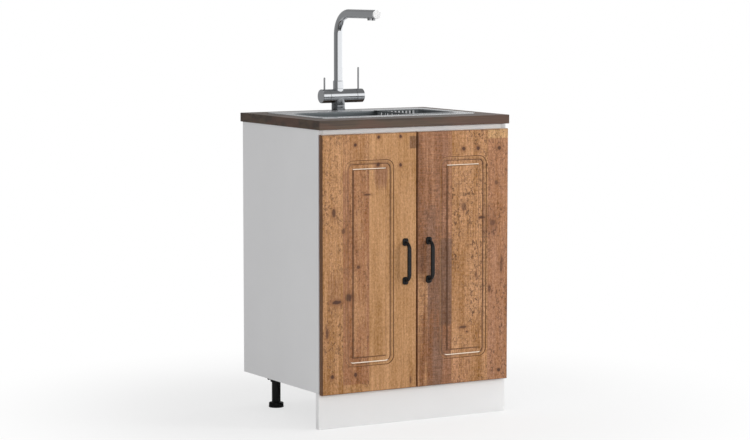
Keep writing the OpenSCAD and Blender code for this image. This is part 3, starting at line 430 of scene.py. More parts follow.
@dataclass(frozen=True)
class AgedPlanks(Finish):
    """Foil printed with old, nailed and sawn boards that run up the doors, with painted shade and painted
    highlights round the moulded frame.
    """

    name: str = "aged planks"
    middle: Pair = (149.75, 448.5)
    window: Pair = (76.25, 281.5)
    corner: float = 24.0
    bead: float = 10.0

    def draw(self, shade: Shade) -> bpy.types.Material:
        """Builds the material's nodes.

        Args:
            shade: the new material's tree.

        Returns:
            The finished material.
        """
        at = shade.place()
        x, y, z = shade.axes(at)
        tone, shift, marks, saw = self.boards(x)
        cloud = self.fibre(at, 16.0, 5.0, 3.0, 0.6, shift)
        broad = self.fibre(at, 75.0, 2.6, 4.0, 0.6, shift)
        streak = self.fibre(at, 330.0, 9.0, 3.0, 0.6, shift)
        pore = self.fibre(at, 950.0, 46.0, 2.0, 0.5, shift)
        mottle = self.fibre(at, 190.0, 130.0, 3.0, 0.72, shift)
        tone = self.patched(tone, x, z, broad * 0.5 + cloud * 0.5)
        wear = broad * 0.95 + streak * 0.85 + cloud * 0.85 + mottle * 1.45 - 2.03
        wear = wear * (marks * 0.35 + 0.75)
        tone = shade.chalk(shade.lift(tone, wear * 0.78 + 1.025), wear * 0.13 + 0.0135)
        sawn = self.fibre(at, 26.0, 800.0, 2.0, 0.5, shift)
        tone = shade.lift(tone, (sawn - 0.5) * saw * 1.1 + 0.98)
        dash = self.fibre(at, 420.0, 34.0, 2.0, 0.6, shift).ease(0.575, 0.65)
        tone = self.mark_shade_and_highlight(tone, dash * (marks * 0.3 + 0.15))
        speck = self.fibre(at, 160.0, 105.0, 3.0, 0.7, shift).ease(0.545, 0.61)
        flock = self.fibre(at, 13.0, 6.0, 2.0, 0.5, shift).ease(0.36, 0.56)
        tone = self.mark_shade_and_highlight(tone, speck * flock * marks * 0.78)
        swirl = self.fibre(at, 75.0, 42.0, 2.0, 0.6, shift) - 0.5
        curl = abs(swirl).ease(0.022, 0.006) * cloud.ease(0.5, 0.56)
        tone = self.mark_shade_and_highlight(tone, curl * marks * 0.6)
        tone = self.mark_shade_and_highlight(tone, pore.ease(0.4, 0.27) * 0.35)
        # Darker on the doors' outer side edges.
        tone = self.mark_shade_and_highlight(self.knotted(tone, at), abs(x).ease(0.2961, 0.2972) * 0.75)
        seams = self.seams(x)
        tone = self.mark_shade_and_highlight(self.framed(tone, x, y, z), seams * 0.3)
        relief = shade.bump(streak * 0.5 + pore * 0.3 + speck * flock * -0.3 + seams * -0.3, 0.00016, 0.7)
        return shade.close(Base_Color=tone, Roughness=streak * 0.16 + 0.4, Normal=relief, Coat_Weight=0.1,
                           Coat_Roughness=0.25, Specular_IOR_Level=0.35)

    def fibre(self, at: Sock, across: float, along: float, detail: float, rough: float, shift: Sock) -> Sock:
        """Noise drawn out up the door, moved on from board to board."""
        return at.shade.grain(at, (across, across, along), detail, rough, shift)

    def boards(self, x: Sock) -> tuple[Value, Sock, Sock, Sock]:
        """The boards side by side.

        Args:
            x: place along the unit.

        Returns:
            The tone, a shift of the grain from board to board, and the strength of marks and of saw lines.
        """
        tone: Value = PLANKS[0].tone.value
        which: Value = 0.0
        marks: Value = PLANKS[0].marks
        saw: Value = PLANKS[0].saw
        for before, plank in zip(PLANKS, PLANKS[1:]):
            side = x.ease((plank.left - 0.5) * MM, (plank.left + 0.5) * MM)
            tone = x.shade.blend(side, tone, plank.tone.value)
            which = side + which
            marks = side * (plank.marks - before.marks) + marks
            saw = side * (plank.saw - before.saw) + saw
        return tone, x.shade.join(which * 3.7, 0.0, which * 5.3), marks, saw

    def patched(self, tone: Value, x: Sock, z: Sock, tear: Sock) -> Value:
        """The boards' tone with the patches laid over it, some torn by a noise.

        Args:
            tone: the tone so far.
            x: place along the unit.
            z: height.
            tear: the noise that tears edges.

        Returns:
            The new tone.
        """
        for patch in PATCHES:
            mask = self.inside(x, z, patch)
            if patch.torn:
                mask = mask * tear.ease(0.62 - patch.torn * 0.4, 0.62 - patch.torn * 0.1)
            tone = x.shade.blend(mask * patch.share, tone, patch.tone.value)
        return tone

    def knotted(self, tone: Sock, at: Sock) -> Sock:
        """The tone with knots: a dark core in a brown halo, both with a ragged outline.

        Args:
            tone: the tone so far.
            at: the point on the piece.

        Returns:
            The new tone.
        """
        warp = tone.shade.grain(at, (150.0, 150.0, 110.0), 3.0, 0.65)
        core: Value = 0.0
        halo: Value = 0.0
        for knot in KNOTS:
            away = self.away(at, knot) + (warp - 0.5) * 1.1
            core = away.ease(1.15, 0.6) * min(1.0, knot.share * 1.15) | core
            halo = away.ease(2.4, 0.8) * (0.8 * knot.share) | halo
        return self.mark_shade_and_highlight(self.mark_shade_and_highlight(tone, halo, Tone.UMBER), core)

    def framed(self, tone: Sock, x: Sock, y: Sock, z: Sock) -> Sock:
        """The tone with painted shade on the frame's steps, a painted highlight on the ledge between them, painted
        shade in the steps' inner corners and a painted glint on the up-facing slopes.

        Args:
            tone: the tone so far.
            x: place along the unit.
            y: place from front to back.
            z: height.

        Returns:
            The new tone.
        """
        across, _, up = tone.shade.axes(tone.shade.node("ShaderNodeTexCoord", {}, {}, "Normal"))
        depth = y - DOOR_FACE * MM
        step = depth.between(0.35 * MM, 1.4 * MM, 0.1 * MM) | depth.between(1.95 * MM, 3.25 * MM, 0.1 * MM)
        # Painted shade on the slopes of the frame's steps, lighter where they face right.
        tone = self.mark_shade_and_highlight(tone, step * (across.ease(0.5, 0.1) * 0.35 + 0.45))
        # Painted highlight: a pale line on the ledge between the two steps.
        tone = self.mark_shade_and_highlight(tone, depth.between(1.48 * MM, 1.9 * MM, 0.04 * MM) * 0.3, Tone.STRAW)
        # Painted shade in the steps' inner corners.
        tone = self.mark_shade_and_highlight(tone, self.corner_shade(x, z) * 0.7)
        # Painted highlight: a glint on the up-facing slopes of the deeper step and the panel.
        return self.mark_shade_and_highlight(tone, step * (up.ease(0.4, 0.55) * depth.ease(1.5 * MM, 1.7 * MM)), Tone.GLINT)

    def mark_shade_and_highlight(self, tone: Sock, share: Value, other: Tone = Tone.BARK) -> Sock:
        """A tone with a share of another, dark if none is given; it lays real marks as well as painted shade and
        painted highlights.
        """
        return tone.shade.blend(share, tone, other.value)

    def corner_shade(self, x: Sock, z: Sock) -> Sock:
        """Painted shade: dark lines in the inner corners of the frame's two routed steps, strongest on the
        right-hand side of each panel.

        Args:
            x: place along the unit.
            z: height.

        Returns:
            1 on a line, 0 elsewhere.
        """
        wide, high = (side - self.corner for side in self.window)
        local = x - x.maths("SIGN", x) * (self.middle[0] * MM)
        out_x = abs(local) - wide * MM
        out_z = abs(z - self.middle[1] * MM) - high * MM
        out = x.shade.length(x.shade.join(out_x | 0.0, 0.0, out_z | 0.0))
        lines: Value = 0.0
        for radius in (self.corner, self.corner - self.bead):
            lines = out.between((radius - 1.4) * MM, (radius + 0.1) * MM, 0.2 * MM) | lines
        return lines * (local.ease(-0.06, -0.02) * 0.9 + 0.1)

    def inside(self, x: Sock, z: Sock, patch: Patch) -> Sock:
        """1 inside a patch, 0 outside.

        Args:
            x: place along the unit.
            z: height.
            patch: the patch.

        Returns:
            The mask.
        """
        soft = patch.soft * MM
        return (x.between(patch.x[0] * MM, patch.x[1] * MM, min(soft, 2 * MM))
                * z.between(patch.z[0] * MM, patch.z[1] * MM, soft))

    def away(self, at: Sock, knot: Knot) -> Sock:
        """Distance from a knot's centre, 1 at its edge.

        Args:
            at: the point on the piece.
            knot: the knot.

        Returns:
            The distance.
        """
        scale = (1 / (knot.wide * MM), 0.0, 1 / (knot.high * MM))
        shift = (-knot.x / knot.wide, 0.0, -knot.z / knot.high)
        return at.shade.length(at.shade.stretch(at, scale, shift))

    def seams(self, x: Sock) -> Sock:
        """Thin lines where two boards of the print meet.

        Args:
            x: place along the unit.

        Returns:
            1 on a line, 0 elsewhere.
        """
        lines: Value = 0.0
        for plank in PLANKS[1:]:
            lines = x.between((plank.left - 0.4) * MM, (plank.left + 0.4) * MM, 0.3 * MM) | lines
        return lines


@dataclass(frozen=True)
class BrushedSteel(Finish):
    """Stainless sheet brushed along the unit."""

    name: str = "brushed steel"
    colour: Colour = paint(200, 202, 204)
    rough: float = 0.26
    metal: float = 1.0
    deep: Optional[Colour] = None
    fade: Pair = (815.0, 760.0)

    def draw(self, shade: Shade) -> bpy.types.Material:
        """Builds the material's nodes; deep is the colour below the fade's heights in mm, and the darker colour
        above it is painted shade near a rim.

        Args:
            shade: the new material's tree.

        Returns:
            The finished material.
        """
        at = shade.place()
        hair = shade.grain(at, (14.0, 1500.0, 1500.0), 2.0)
        cloud = shade.grain(at, (9.0, 22.0, 22.0), 2.0)
        base: Value = self.colour
        if self.deep:
            _, _, z = shade.axes(at)
            base = shade.blend(z.ease(self.fade[0] * MM, self.fade[1] * MM), base, self.deep)
        tone = shade.lift(base, hair * 0.16 + cloud * 0.1 + 0.87)
        return shade.close(Base_Color=tone, Metallic=self.metal,
                           Roughness=hair * 0.14 + cloud * 0.1 + (self.rough - 0.1),
                           Normal=shade.bump(hair, 0.00003, 0.5))


@dataclass(frozen=True)
class Chrome(Finish):
    """Polished chrome with faint wiping marks."""

    name: str = "chrome"
    colour: Colour = paint(205, 207, 210)

    def draw(self, shade: Shade) -> bpy.types.Material:
        """Builds the material's nodes.

        Args:
            shade: the new material's tree.

        Returns:
            The finished material.
        """
        at = shade.place()
        smear = shade.grain(at, 60.0, 3.0, 0.6)
        tone = shade.lift(self.colour, smear * 0.06 + 0.97)
        return shade.close(Base_Color=tone, Metallic=1.0, Roughness=smear.ease(0.45, 0.7) * 0.07 + 0.09,
                           Normal=shade.bump(smear, 0.00002, 0.3))


@dataclass(frozen=True)
class PlatedSteel(Finish):
    """Zinc or nickel plating with a fine crystal bloom."""

    name: str = "plated steel"
    colour: Colour = paint(188, 190, 194)
    rough: float = 0.3

    def draw(self, shade: Shade) -> bpy.types.Material:
        """Builds the material's nodes.

        Args:
            shade: the new material's tree.

        Returns:
            The finished material.
        """
        at = shade.place()
        bloom = shade.node("ShaderNodeTexVoronoi", {}, {"Vector": at, "Scale": 420.0}, "Distance")
        cloud = shade.grain(at, 120.0, 3.0)
        tone = shade.lift(self.colour, bloom * 0.12 + cloud * 0.16 + 0.86)
        return shade.close(Base_Color=tone, Metallic=1.0, Roughness=cloud * 0.2 + (self.rough - 0.1),
                           Normal=shade.bump(bloom, 0.00003, 0.3))


@dataclass(frozen=True)
class BlackLacquer(Finish):
    """Black powder coat on cast metal, a little bare on its high spots."""

    name: str = "black lacquer"
    colour: Colour = paint(18, 18, 19)
    worn: Colour = paint(38, 38, 40)

    def draw(self, shade: Shade) -> bpy.types.Material:
        """Builds the material's nodes.

        Args:
            shade: the new material's tree.

        Returns:
            The finished material.
        """
        at = shade.place()
        orange = shade.grain(at, 700.0, 2.0)
        cloud = shade.grain(at, 90.0, 3.0)
        tone = shade.blend(cloud.ease(0.5, 0.75), self.colour, self.worn)
        relief = shade.bump(orange, 0.00012, 0.6)
        return shade.close(Base_Color=tone, Roughness=orange * 0.2 + 0.4, Normal=relief,
                           Specular_IOR_Level=0.25)


@dataclass(frozen=True)
class Moulded(Finish):
    """Injection moulded plastic or rubber with a fine spark-eroded grain."""

    name: str = "black plastic"
    colour: Colour = paint(30, 30, 31)
    rough: float = 0.45
    clear: float = 0.0
    shine: float = 0.5

    def draw(self, shade: Shade) -> bpy.types.Material:
        """Builds the material's nodes.

        Args:
            shade: the new material's tree.

        Returns:
            The finished material.
        """
        at = shade.place()
        spark = shade.grain(at, 1300.0, 2.0)
        flow = shade.grain(at, (30.0, 30.0, 12.0), 2.0)
        tone = shade.lift(self.colour, flow * 0.16 + spark * 0.1 + 0.87)
        return shade.close(Base_Color=tone, Roughness=spark * 0.16 + flow * 0.1 + (self.rough - 0.12),
                           Normal=shade.bump(spark, 0.00003, 0.5), Transmission_Weight=self.clear,
                           Specular_IOR_Level=self.shine)


@dataclass(frozen=True)
class Brass(Finish):
    """Turned brass, dull where fingers touched it."""

    name: str = "brass"
    colour: Colour = paint(205, 170, 100)

    def draw(self, shade: Shade) -> bpy.types.Material:
        """Builds the material's nodes.

        Args:
            shade: the new material's tree.

        Returns:
            The finished material.
        """
        at = shade.place()
        turned = shade.grain(at, (40.0, 40.0, 1600.0), 2.0)
        cloud = shade.grain(at, 80.0, 3.0)
        tone = shade.lift(self.colour, turned * 0.14 + cloud * 0.24 + 0.78)
        return shade.close(Base_Color=tone, Metallic=1.0, Roughness=cloud * 0.2 + 0.2,
                           Normal=shade.bump(turned, 0.00004, 0.5))


WHITE_BOARD = BoardLaminate("white laminate", paint(240, 240, 240))
# Painted light: a lighter copy of the white laminate for the front rail, which the worktop's edge shades.
LIT_FRONT_RAIL = BoardLaminate("front rail with painted light", paint(253, 253, 253))
GREY_BOARD = BoardLaminate("side laminate", paint(226, 226, 227))
WORKTOP = WorktopLaminate()
DOOR_WOOD = AgedPlanks()
STEEL = BrushedSteel("brushed steel", paint(196, 198, 200), 0.24, 0.78)
# Painted light and painted shade: lit and shaded copies of the colander's steel; the shaded one is also darkest
# near the rim.
LIT_COLANDER_STEEL = BrushedSteel("colander bars with painted light", paint(236, 237, 238), 0.4, 0.3)
SHADE_STEEL = BrushedSteel("shaded steel", paint(110, 114, 117), 0.34, 0.6, paint(186, 190, 192))
# Painted shade: a darker copy of the steel for the sink's bowl, darkest near the rim.
SHADED_BOWL_FINISH = BrushedSteel("bowl steel with painted shade", paint(110, 116, 119), 0.36, 0.45, paint(200, 203, 205))
CHROME = Chrome()
# Painted shade: a darker copy of the chrome for the tap's pedestal and upright body.
SHADED_CHROME = Chrome("shaded chrome", paint(132, 134, 137))
SATIN = BrushedSteel("satin chrome", paint(148, 149, 151), 0.3)
PLATED = PlatedSteel()
BLACK_METAL = BlackLacquer()
BLACK_PLASTIC = Moulded("black plastic", paint(15, 15, 16), 0.5, shine=0.25)
GREY_PLASTIC = Moulded("grey plastic", paint(120, 121, 122), 0.42)
WHITE_PLASTIC = Moulded("white plastic", paint(232, 232, 229), 0.34)
CAP_PLASTIC = Moulded("white cap", paint(242, 242, 242), 0.3)
RUBBER = Moulded("soft rubber", paint(28, 28, 28), 0.75)
CLEAR = Moulded("clear bumper", paint(230, 232, 232), 0.25, 0.7)
BRASS = Brass()
SLOT_FINISH: dict[str, Finish] = {
    "grey_board": GREY_BOARD, "white_board": WHITE_BOARD, "worktop_laminate": WORKTOP, "door_wood": DOOR_WOOD,
    "stainless": STEEL, "chrome": CHROME, "plated_steel": PLATED, "black_metal": BLACK_METAL,
    "black_plastic": BLACK_PLASTIC, "grey_plastic": GREY_PLASTIC, "white_plastic": WHITE_PLASTIC,
    "soft_rubber": RUBBER, "clear_bumper": CLEAR, "brass": BRASS}
SLOT_OF: dict[str, str] = {part["node"]: part["material_slot"] for part in frame["record"]["subparts"]}
BODY_OF: dict[str, str] = {node: body for body, nodes in frame["record"]["behaviour"]["bodies"].items()
                           for node in nodes}


# ---- Mesh tools


def spot(x: float, y: float, z: float) -> Vector:
    """A point given in millimetres."""
    return Vector((x, y, z)) * MM


def along(axis: str, x: float, y: float, z: float) -> Matrix:
    """A frame at a point in mm whose own Z looks along an axis.

    Args:
        axis: X, Y, Z, or the same with a minus in front.
        x: place along the unit.
        y: place from front to back.
        z: height.

    Returns:
        The frame's matrix.
    """
    ways = {"X": (1, 0, 0), "Y": (0, 1, 0), "Z": (0, 0, 1)}
    way = Vector(ways[axis[-1]]) * (-1 if axis[0] == "-" else 1)
    return Matrix.Translation(spot(x, y, z)) @ way.to_track_quat("Z", "Y").to_matrix().to_4x4()


def circle(radius: float, steps: int, centre: Pair = (0.0, 0.0)) -> list[Pair]:
    """Points round a circle in mm."""
    angles = [2 * math.pi * i / steps for i in range(steps)]
    return [(centre[0] + radius * math.cos(a), centre[1] + radius * math.sin(a)) for a in angles]


def quarter(steps: int) -> list[float]:
    """Angles from 0 to a quarter turn."""
    return [math.pi / 2 * step / steps for step in range(steps + 1)]


def oblong(centre: Pair, width: float, depth: float, radius: float, steps: int = 8) -> list[Pair]:
    """A rectangle with round corners in mm, always with the same count of points for the same steps.

    Args:
        centre: its middle.
        width: size along the first axis.
        depth: size along the second axis.
        radius: corner radius.
        steps: parts of each corner.

    Returns:
        The points, anticlockwise.
    """
    points = []
    for turn, (sx, sy) in enumerate(((1, 1), (-1, 1), (-1, -1), (1, -1))):
        mx = centre[0] + sx * (width / 2 - radius)
        my = centre[1] + sy * (depth / 2 - radius)
        for step in range(steps + 1):
            angle = math.pi / 2 * (turn + step / steps)
            points.append((mx + radius * math.cos(angle), my + radius * math.sin(angle)))
    return points


class Form:
    """A mesh that is put together from lofts, turned shapes, plates and copies."""

    def __init__(self) -> None:
        """Starts empty."""
        self.bm = bmesh.new()

    def loft(self, rings: Sequence[Ring], caps: tuple[bool, bool] = (True, True), ring: bool = False,
             slot: Union[int, Sequence[int]] = 0) -> "Form":
        """Joins rings with the same count of points.

        Args:
            rings: the rings in order.
            caps: whether the first and last are filled.
            ring: whether the last joins the first.
            slot: material number, or one for each strip.

        Returns:
            The form.
        """
        made = [[self.bm.verts.new(p) for p in loop] for loop in rings]
        pairs = list(zip(made, made[1:])) + ([(made[-1], made[0])] if ring else [])
        for index, (low, high) in enumerate(pairs):
            for i in range(len(low)):
                j = (i + 1) % len(low)
                face = self.bm.faces.new((low[i], low[j], high[j], high[i]))
                face.material_index = slot if isinstance(slot, int) else slot[index]
        first, last = (slot, slot) if isinstance(slot, int) else (slot[0], slot[-1])
        if caps[0] and not ring:
            self.bm.faces.new(list(reversed(made[0]))).material_index = first
        if caps[1] and not ring:
            self.bm.faces.new(made[-1]).material_index = last
        return self

    def turned(self, profile: Sequence[Pair], at: Matrix, ring: bool = False, steps: int = 64,
               slot: int = 0) -> "Form":
        """Turns a profile round the frame's own Z.

        Args:
            profile: radius and height in mm.
            at: the frame.
            ring: whether the profile closes on itself.
            steps: parts of the full turn.
            slot: material number.

        Returns:
            The form.
        """
        rings = [[at @ spot(x, y, height) for x, y in circle(radius, steps)] for radius, height in profile]
        ends = (profile[0][0] > 0.001, profile[-1][0] > 0.001)
        return self.loft(rings, ends, ring, slot)

    def plate(self, outlines: Sequence[Sequence[Pair]], low: float, high: float, edge: float,
              at: Optional[Matrix] = None, slot: int = 0) -> "Form":
        """A flat plate with holes and rounded edges.

        Args:
            outlines: the outer outline and the holes, in mm.
            low: lower face in mm.
            high: upper face in mm.
            edge: radius of its edges in mm.
            at: frame of the outlines.
            slot: material number.

        Returns:
            The form.
        """
        curve = bpy.data.curves.new("outline", "CURVE")
        curve.dimensions, curve.fill_mode = "2D", "BOTH"
        curve.extrude = ((high - low) / 2 - edge) * MM
        curve.bevel_depth, curve.offset, curve.bevel_resolution = edge * MM, -edge * MM, 2
        for outline in outlines:
            spline = curve.splines.new("POLY")
            spline.points.add(len(outline) - 1)
            spline.use_cyclic_u = True
            for point, (px, py) in zip(spline.points, outline):
                point.co = (px * MM, py * MM, 0.0, 1.0)
        holder = bpy.data.objects.new("outline", curve)
        bpy.context.scene.collection.objects.link(holder)
        mesh = baked(holder)
        mesh.transform((at or Matrix.Identity(4)) @ Matrix.Translation(spot(0, 0, (low + high) / 2)))
        return self.take(mesh, slot)

    def block(self, low: Triple, high: Triple, edge: float, slot: int = 0) -> "Form":
        """A board with rounded edges between two corners in mm.

        Args:
            low: its lower corner.
            high: its upper corner.
            edge: radius of its edges.
            slot: material number.

        Returns:
            The form.
        """
        (x0, y0, z0), (x1, y1, z1) = low, high
        rings = []
        for inset, z in ((edge, z0), (edge * 0.3, z0 + edge * 0.3), (0, z0 + edge), (0, z1 - edge),
                         (edge * 0.3, z1 - edge * 0.3), (edge, z1)):
            outline = oblong(((x0 + x1) / 2, (y0 + y1) / 2), x1 - x0 - 2 * inset, y1 - y0 - 2 * inset,
                             max(edge - inset, 0.02), 3)
            rings.append([spot(px, py, z) for px, py in outline])
        return self.loft(rings, slot=slot)

    def take(self, mesh: bpy.types.Mesh, slot: int = 0) -> "Form":
        """Adds a finished mesh and removes it.

        Args:
            mesh: the mesh.
            slot: material number of its faces.

        Returns:
            The form.
        """
        before = set(self.bm.faces)
        self.bm.from_mesh(mesh)
        for face in self.bm.faces:
            if face not in before:
                face.material_index = slot
        bpy.data.meshes.remove(mesh)
        return self

    def mirrored(self) -> "Form":
        """The same form on the other side of the middle plane.

        Returns:
            The new form.
        """
        other = Form()
        mesh = bpy.data.meshes.new("half")
        self.bm.to_mesh(mesh)
        mesh.transform(Matrix.Scale(-1, 4, (1, 0, 0)))
        other.bm.from_mesh(mesh)
        bpy.data.meshes.remove(mesh)
        return other

    def mesh(self, name: str, angle: float = 32.0) -> bpy.types.Mesh:
        """Merges, turns the faces outwards and smooths the mesh.

        Args:
            name: its name.
            angle: edges sharper than this stay crisp.

        Returns:
            The mesh.
        """
        bmesh.ops.remove_doubles(self.bm, verts=self.bm.verts, dist=WELD)
        bmesh.ops.dissolve_degenerate(self.bm, edges=self.bm.edges, dist=WELD)
        bmesh.ops.recalc_face_normals(self.bm, faces=self.bm.faces)
        mesh = bpy.data.meshes.new(name)
        self.bm.to_mesh(mesh)
        self.bm.free()
        for polygon in mesh.polygons:
            polygon.use_smooth = True
        mesh.set_sharp_from_angle(angle=math.radians(angle))
        holder = bpy.data.objects.new("holder", mesh)
        bpy.context.scene.collection.objects.link(holder)
        flat = holder.modifiers.new("flat faces stay flat", "WEIGHTED_NORMAL")
        flat.keep_sharp = True
        settled = baked(holder)
        bpy.data.meshes.remove(mesh)
        settled.name = name
        return settled


def baked(holder: bpy.types.Object) -> bpy.types.Mesh:
    """An object's evaluated shape as a plain mesh; the object is removed.

    Args:
        holder: the object.

    Returns:
        The mesh.
    """
    bpy.context.view_layer.update()
    graph = bpy.context.evaluated_depsgraph_get()
    mesh = bpy.data.meshes.new_from_object(holder.evaluated_get(graph), depsgraph=graph)
    data = holder.data
    bpy.data.objects.remove(holder)
    if isinstance(data, bpy.types.Curve):
        bpy.data.curves.remove(data)
    return mesh


class Growth:
    """Geometry Nodes trees with named inputs, run on a holder and turned to a plain mesh."""

    def __init__(self, name: str, sockets: dict[str, str]) -> None:
        """Starts a tree.

        Args:
            name: the tree's name.
            sockets: input name to socket type.
        """
        self.tree = bpy.data.node_groups.new(name, "GeometryNodeTree")
        self.tree.interface.new_socket("Geometry", in_out="INPUT", socket_type="NodeSocketGeometry")
        self.tree.interface.new_socket("Geometry", in_out="OUTPUT", socket_type="NodeSocketGeometry")
        self.keys = {key: self.tree.interface.new_socket(key, in_out="INPUT", socket_type=kind).identifier
                     for key, kind in sockets.items()}
        self.source = self.tree.nodes.new("NodeGroupInput")
        self.end = self.tree.nodes.new("NodeGroupOutput")

    def add(self, kind: str, settings: dict, links: dict) -> bpy.types.Node:
        """Adds a node; a link is a plain value, an input's name or another node's output.

        Args:
            kind: the node's type.
            settings: its properties.
            links: socket to source.

        Returns:
            The node.
        """
        made = self.tree.nodes.new(kind)
        for key, value in settings.items():
            setattr(made, key, value)
        for key, value in links.items():
            if isinstance(value, str):
                self.tree.links.new(self.source.outputs[value], made.inputs[key])
            elif isinstance(value, bpy.types.NodeSocket):
                self.tree.links.new(value, made.inputs[key])
            else:
                made.inputs[key].default_value = value
        return made

    def finish(self, shape: bpy.types.NodeSocket) -> None:
        """Ends the tree in Realize Instances and Set Material.

        Args:
            shape: the output with the shape.
        """
        real = self.add("GeometryNodeRealizeInstances", {}, {0: shape})
        dressed = self.add("GeometryNodeSetMaterial", {}, {"Geometry": real.outputs[0], "Material": "Finish"})
        self.tree.links.new(dressed.outputs[0], self.end.inputs[0])

    def run(self, start: bpy.types.Mesh, **values: object) -> bpy.types.Mesh:
        """Runs the tree.

        Args:
            start: the mesh that it starts from.
            **values: the named inputs.

        Returns:
            The result as a plain mesh.
        """
        holder = bpy.data.objects.new("holder", start)
        bpy.context.scene.collection.objects.link(holder)
        modifier = holder.modifiers.new("growth", "NODES")
        modifier.node_group = self.tree
        for key, value in values.items():
            modifier[self.keys[key]] = value
        mesh = baked(holder)
        bpy.data.meshes.remove(start)
        return mesh


class Copies(Growth):
    """Sets copies of a shape along a line or round a circle."""

    def __init__(self) -> None:
        """Builds the tree."""
        super().__init__("copies of a shape", {
            "Shape": "NodeSocketObject", "Count": "NodeSocketInt", "Arm": "NodeSocketVector",
            "Step": "NodeSocketVector", "Turn": "NodeSocketFloat", "Finish": "NodeSocketMaterial"})
        line = self.add("GeometryNodeMeshLine", {"mode": "OFFSET"},
                        {"Count": "Count", "Start Location": "Arm", "Offset": "Step"})
        index = self.add("GeometryNodeInputIndex", {}, {})
        angle = self.add("ShaderNodeMath", {"operation": "MULTIPLY"}, {0: index.outputs[0], 1: "Turn"})
        place = self.add("GeometryNodeInputPosition", {}, {})
        round_z = self.add("ShaderNodeVectorRotate", {"rotation_type": "Z_AXIS"},
                           {"Vector": place.outputs[0], "Angle": angle.outputs[0]})
        moved = self.add("GeometryNodeSetPosition", {},
                         {"Geometry": line.outputs[0], "Position": round_z.outputs[0]})
        euler = self.add("ShaderNodeCombineXYZ", {}, {2: angle.outputs[0]})
        turn = self.add("FunctionNodeEulerToRotation", {}, {0: euler.outputs[0]})
        shape = self.add("GeometryNodeObjectInfo", {}, {"Object": "Shape"})
        put = self.add("GeometryNodeInstanceOnPoints", {}, {
            "Points": moved.outputs[0], "Instance": shape.outputs["Geometry"], "Rotation": turn.outputs[0]})
        self.finish(put.outputs[0])

    def place(self, shape: Form, finish: Finish, count: int, arm: Triple, step: Triple = (0, 0, 0),
              turn: float = 0.0, at: Optional[Matrix] = None) -> bpy.types.Mesh:
        """Makes the copies.

        Args:
            shape: what is copied.
            finish: its finish.
            count: how many.
            arm: place of the first in mm.
            step: from one to the next in mm.
            turn: from one to the next round Z, in degrees.
            at: frame of the whole row.

        Returns:
            The copies as one mesh.
        """
        pattern = bpy.data.objects.new("pattern", shape.mesh("pattern"))
        bpy.context.scene.collection.objects.link(pattern)
        mesh = self.run(bpy.data.meshes.new("start"), Shape=pattern, Count=count, Arm=[v * MM for v in arm],
                        Step=[v * MM for v in step], Turn=math.radians(turn), Finish=finish.material())
        data = pattern.data
        bpy.data.objects.remove(pattern)
        bpy.data.meshes.remove(data)
        if at:
            mesh.transform(at)
        return mesh


class Pipes(Growth):
    """Draws a round tube along a line of points, with the corners bent to a radius."""

    def __init__(self) -> None:
        """Builds the tree."""
        super().__init__("tube along a line", {"Bend": "NodeSocketFloat", "Radius": "NodeSocketFloat",
                                               "Finish": "NodeSocketMaterial"})
        line = self.add("GeometryNodeMeshToCurve", {}, {0: "Geometry"})
        bent = self.add("GeometryNodeFilletCurve", {"mode": "POLY"},
                        {"Curve": line.outputs[0], "Count": 28, "Radius": "Bend", "Limit Radius": True})
        ring = self.add("GeometryNodeCurvePrimitiveCircle", {}, {"Resolution": 56, "Radius": "Radius"})
        tube = self.add("GeometryNodeCurveToMesh", {},
                        {"Curve": bent.outputs[0], "Profile Curve": ring.outputs[0], "Fill Caps": True})
        self.finish(tube.outputs[0])

    def draw(self, points: Sequence[Triple], bend: float, radius: float, finish: Finish) -> bpy.types.Mesh:
        """Makes the tube.

        Args:
            points: its corners in mm.
            bend: bend radius in mm.
            radius: the tube's radius in mm.
            finish: its finish.

        Returns:
            The tube.
        """
        start = bpy.data.meshes.new("line")
        start.from_pydata([spot(*p) for p in points], [(i, i + 1) for i in range(len(points) - 1)], [])
        return self.run(start, Bend=bend * MM, Radius=radius * MM, Finish=finish.material())


class Workshop:
    """Makes the finished pieces, sets them on their bodies and keeps the shared trees."""

    def __init__(self) -> None:
        """Makes the trees."""
        self.copies = Copies()
        self.pipes = Pipes()

    def piece(self, name: str, form: Form, finishes: Union[Finish, Sequence[Finish]], *nodes: str,
              body: str = "", angle: float = 40.0) -> bpy.types.Object:
        """Makes a piece that stands for CAD nodes, or an extra one on a body.

        Args:
            name: the piece's name.
            form: its shape.
            finishes: one finish, or one for each material number.
            *nodes: the CAD nodes that it replaces.
            body: the body that an extra piece rides on.
            angle: edges sharper than this stay crisp.

        Returns:
            The piece's object.
        """
        piece = bpy.data.objects.new(name, form.mesh(name, angle))
        bpy.context.scene.collection.objects.link(piece)
        holders = piece.data.materials
        for index, finish in enumerate([finishes] if isinstance(finishes, Finish) else finishes):
            if index < len(holders):
                holders[index] = finish.material()
            else:
                holders.append(finish.material())
        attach(piece, body or BODY_OF[nodes[0]])
        if nodes:
            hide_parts(*nodes)
        LOG.info("%s: %d faces", name, len(piece.data.polygons))
        return piece

    def turned(self, name: str, node: str, finish: Finish, at: Matrix, profile: Sequence[Pair],
               ring: bool = True, steps: int = 64, angle: float = 40.0) -> None:
        """Makes a piece from one turned profile; the values are those of Form.turned and piece."""
        self.piece(name, Form().turned(profile, at, ring, steps), finish, node, angle=angle)

    def ribs(self, form: Form, rib: Form, finish: Finish, count: int, at: Matrix, arm: float = 0.0) -> None:
        """Adds copies of a rib round a frame's Z, moved outwards by arm mm."""
        form.take(self.copies.place(rib, finish, count, (arm, 0, 0), turn=360 / count, at=at))

    def dress_frame(self) -> None:
        """Gives every CAD node the finish of its material slot."""
        for node, thing in frame["nodes"].items():
            material = SLOT_FINISH[SLOT_OF[node]].material()
            if not thing.material_slots:
                thing.data.materials.append(material)
            for slot in thing.material_slots:
                slot.material = material


# ---- Sub-assemblies


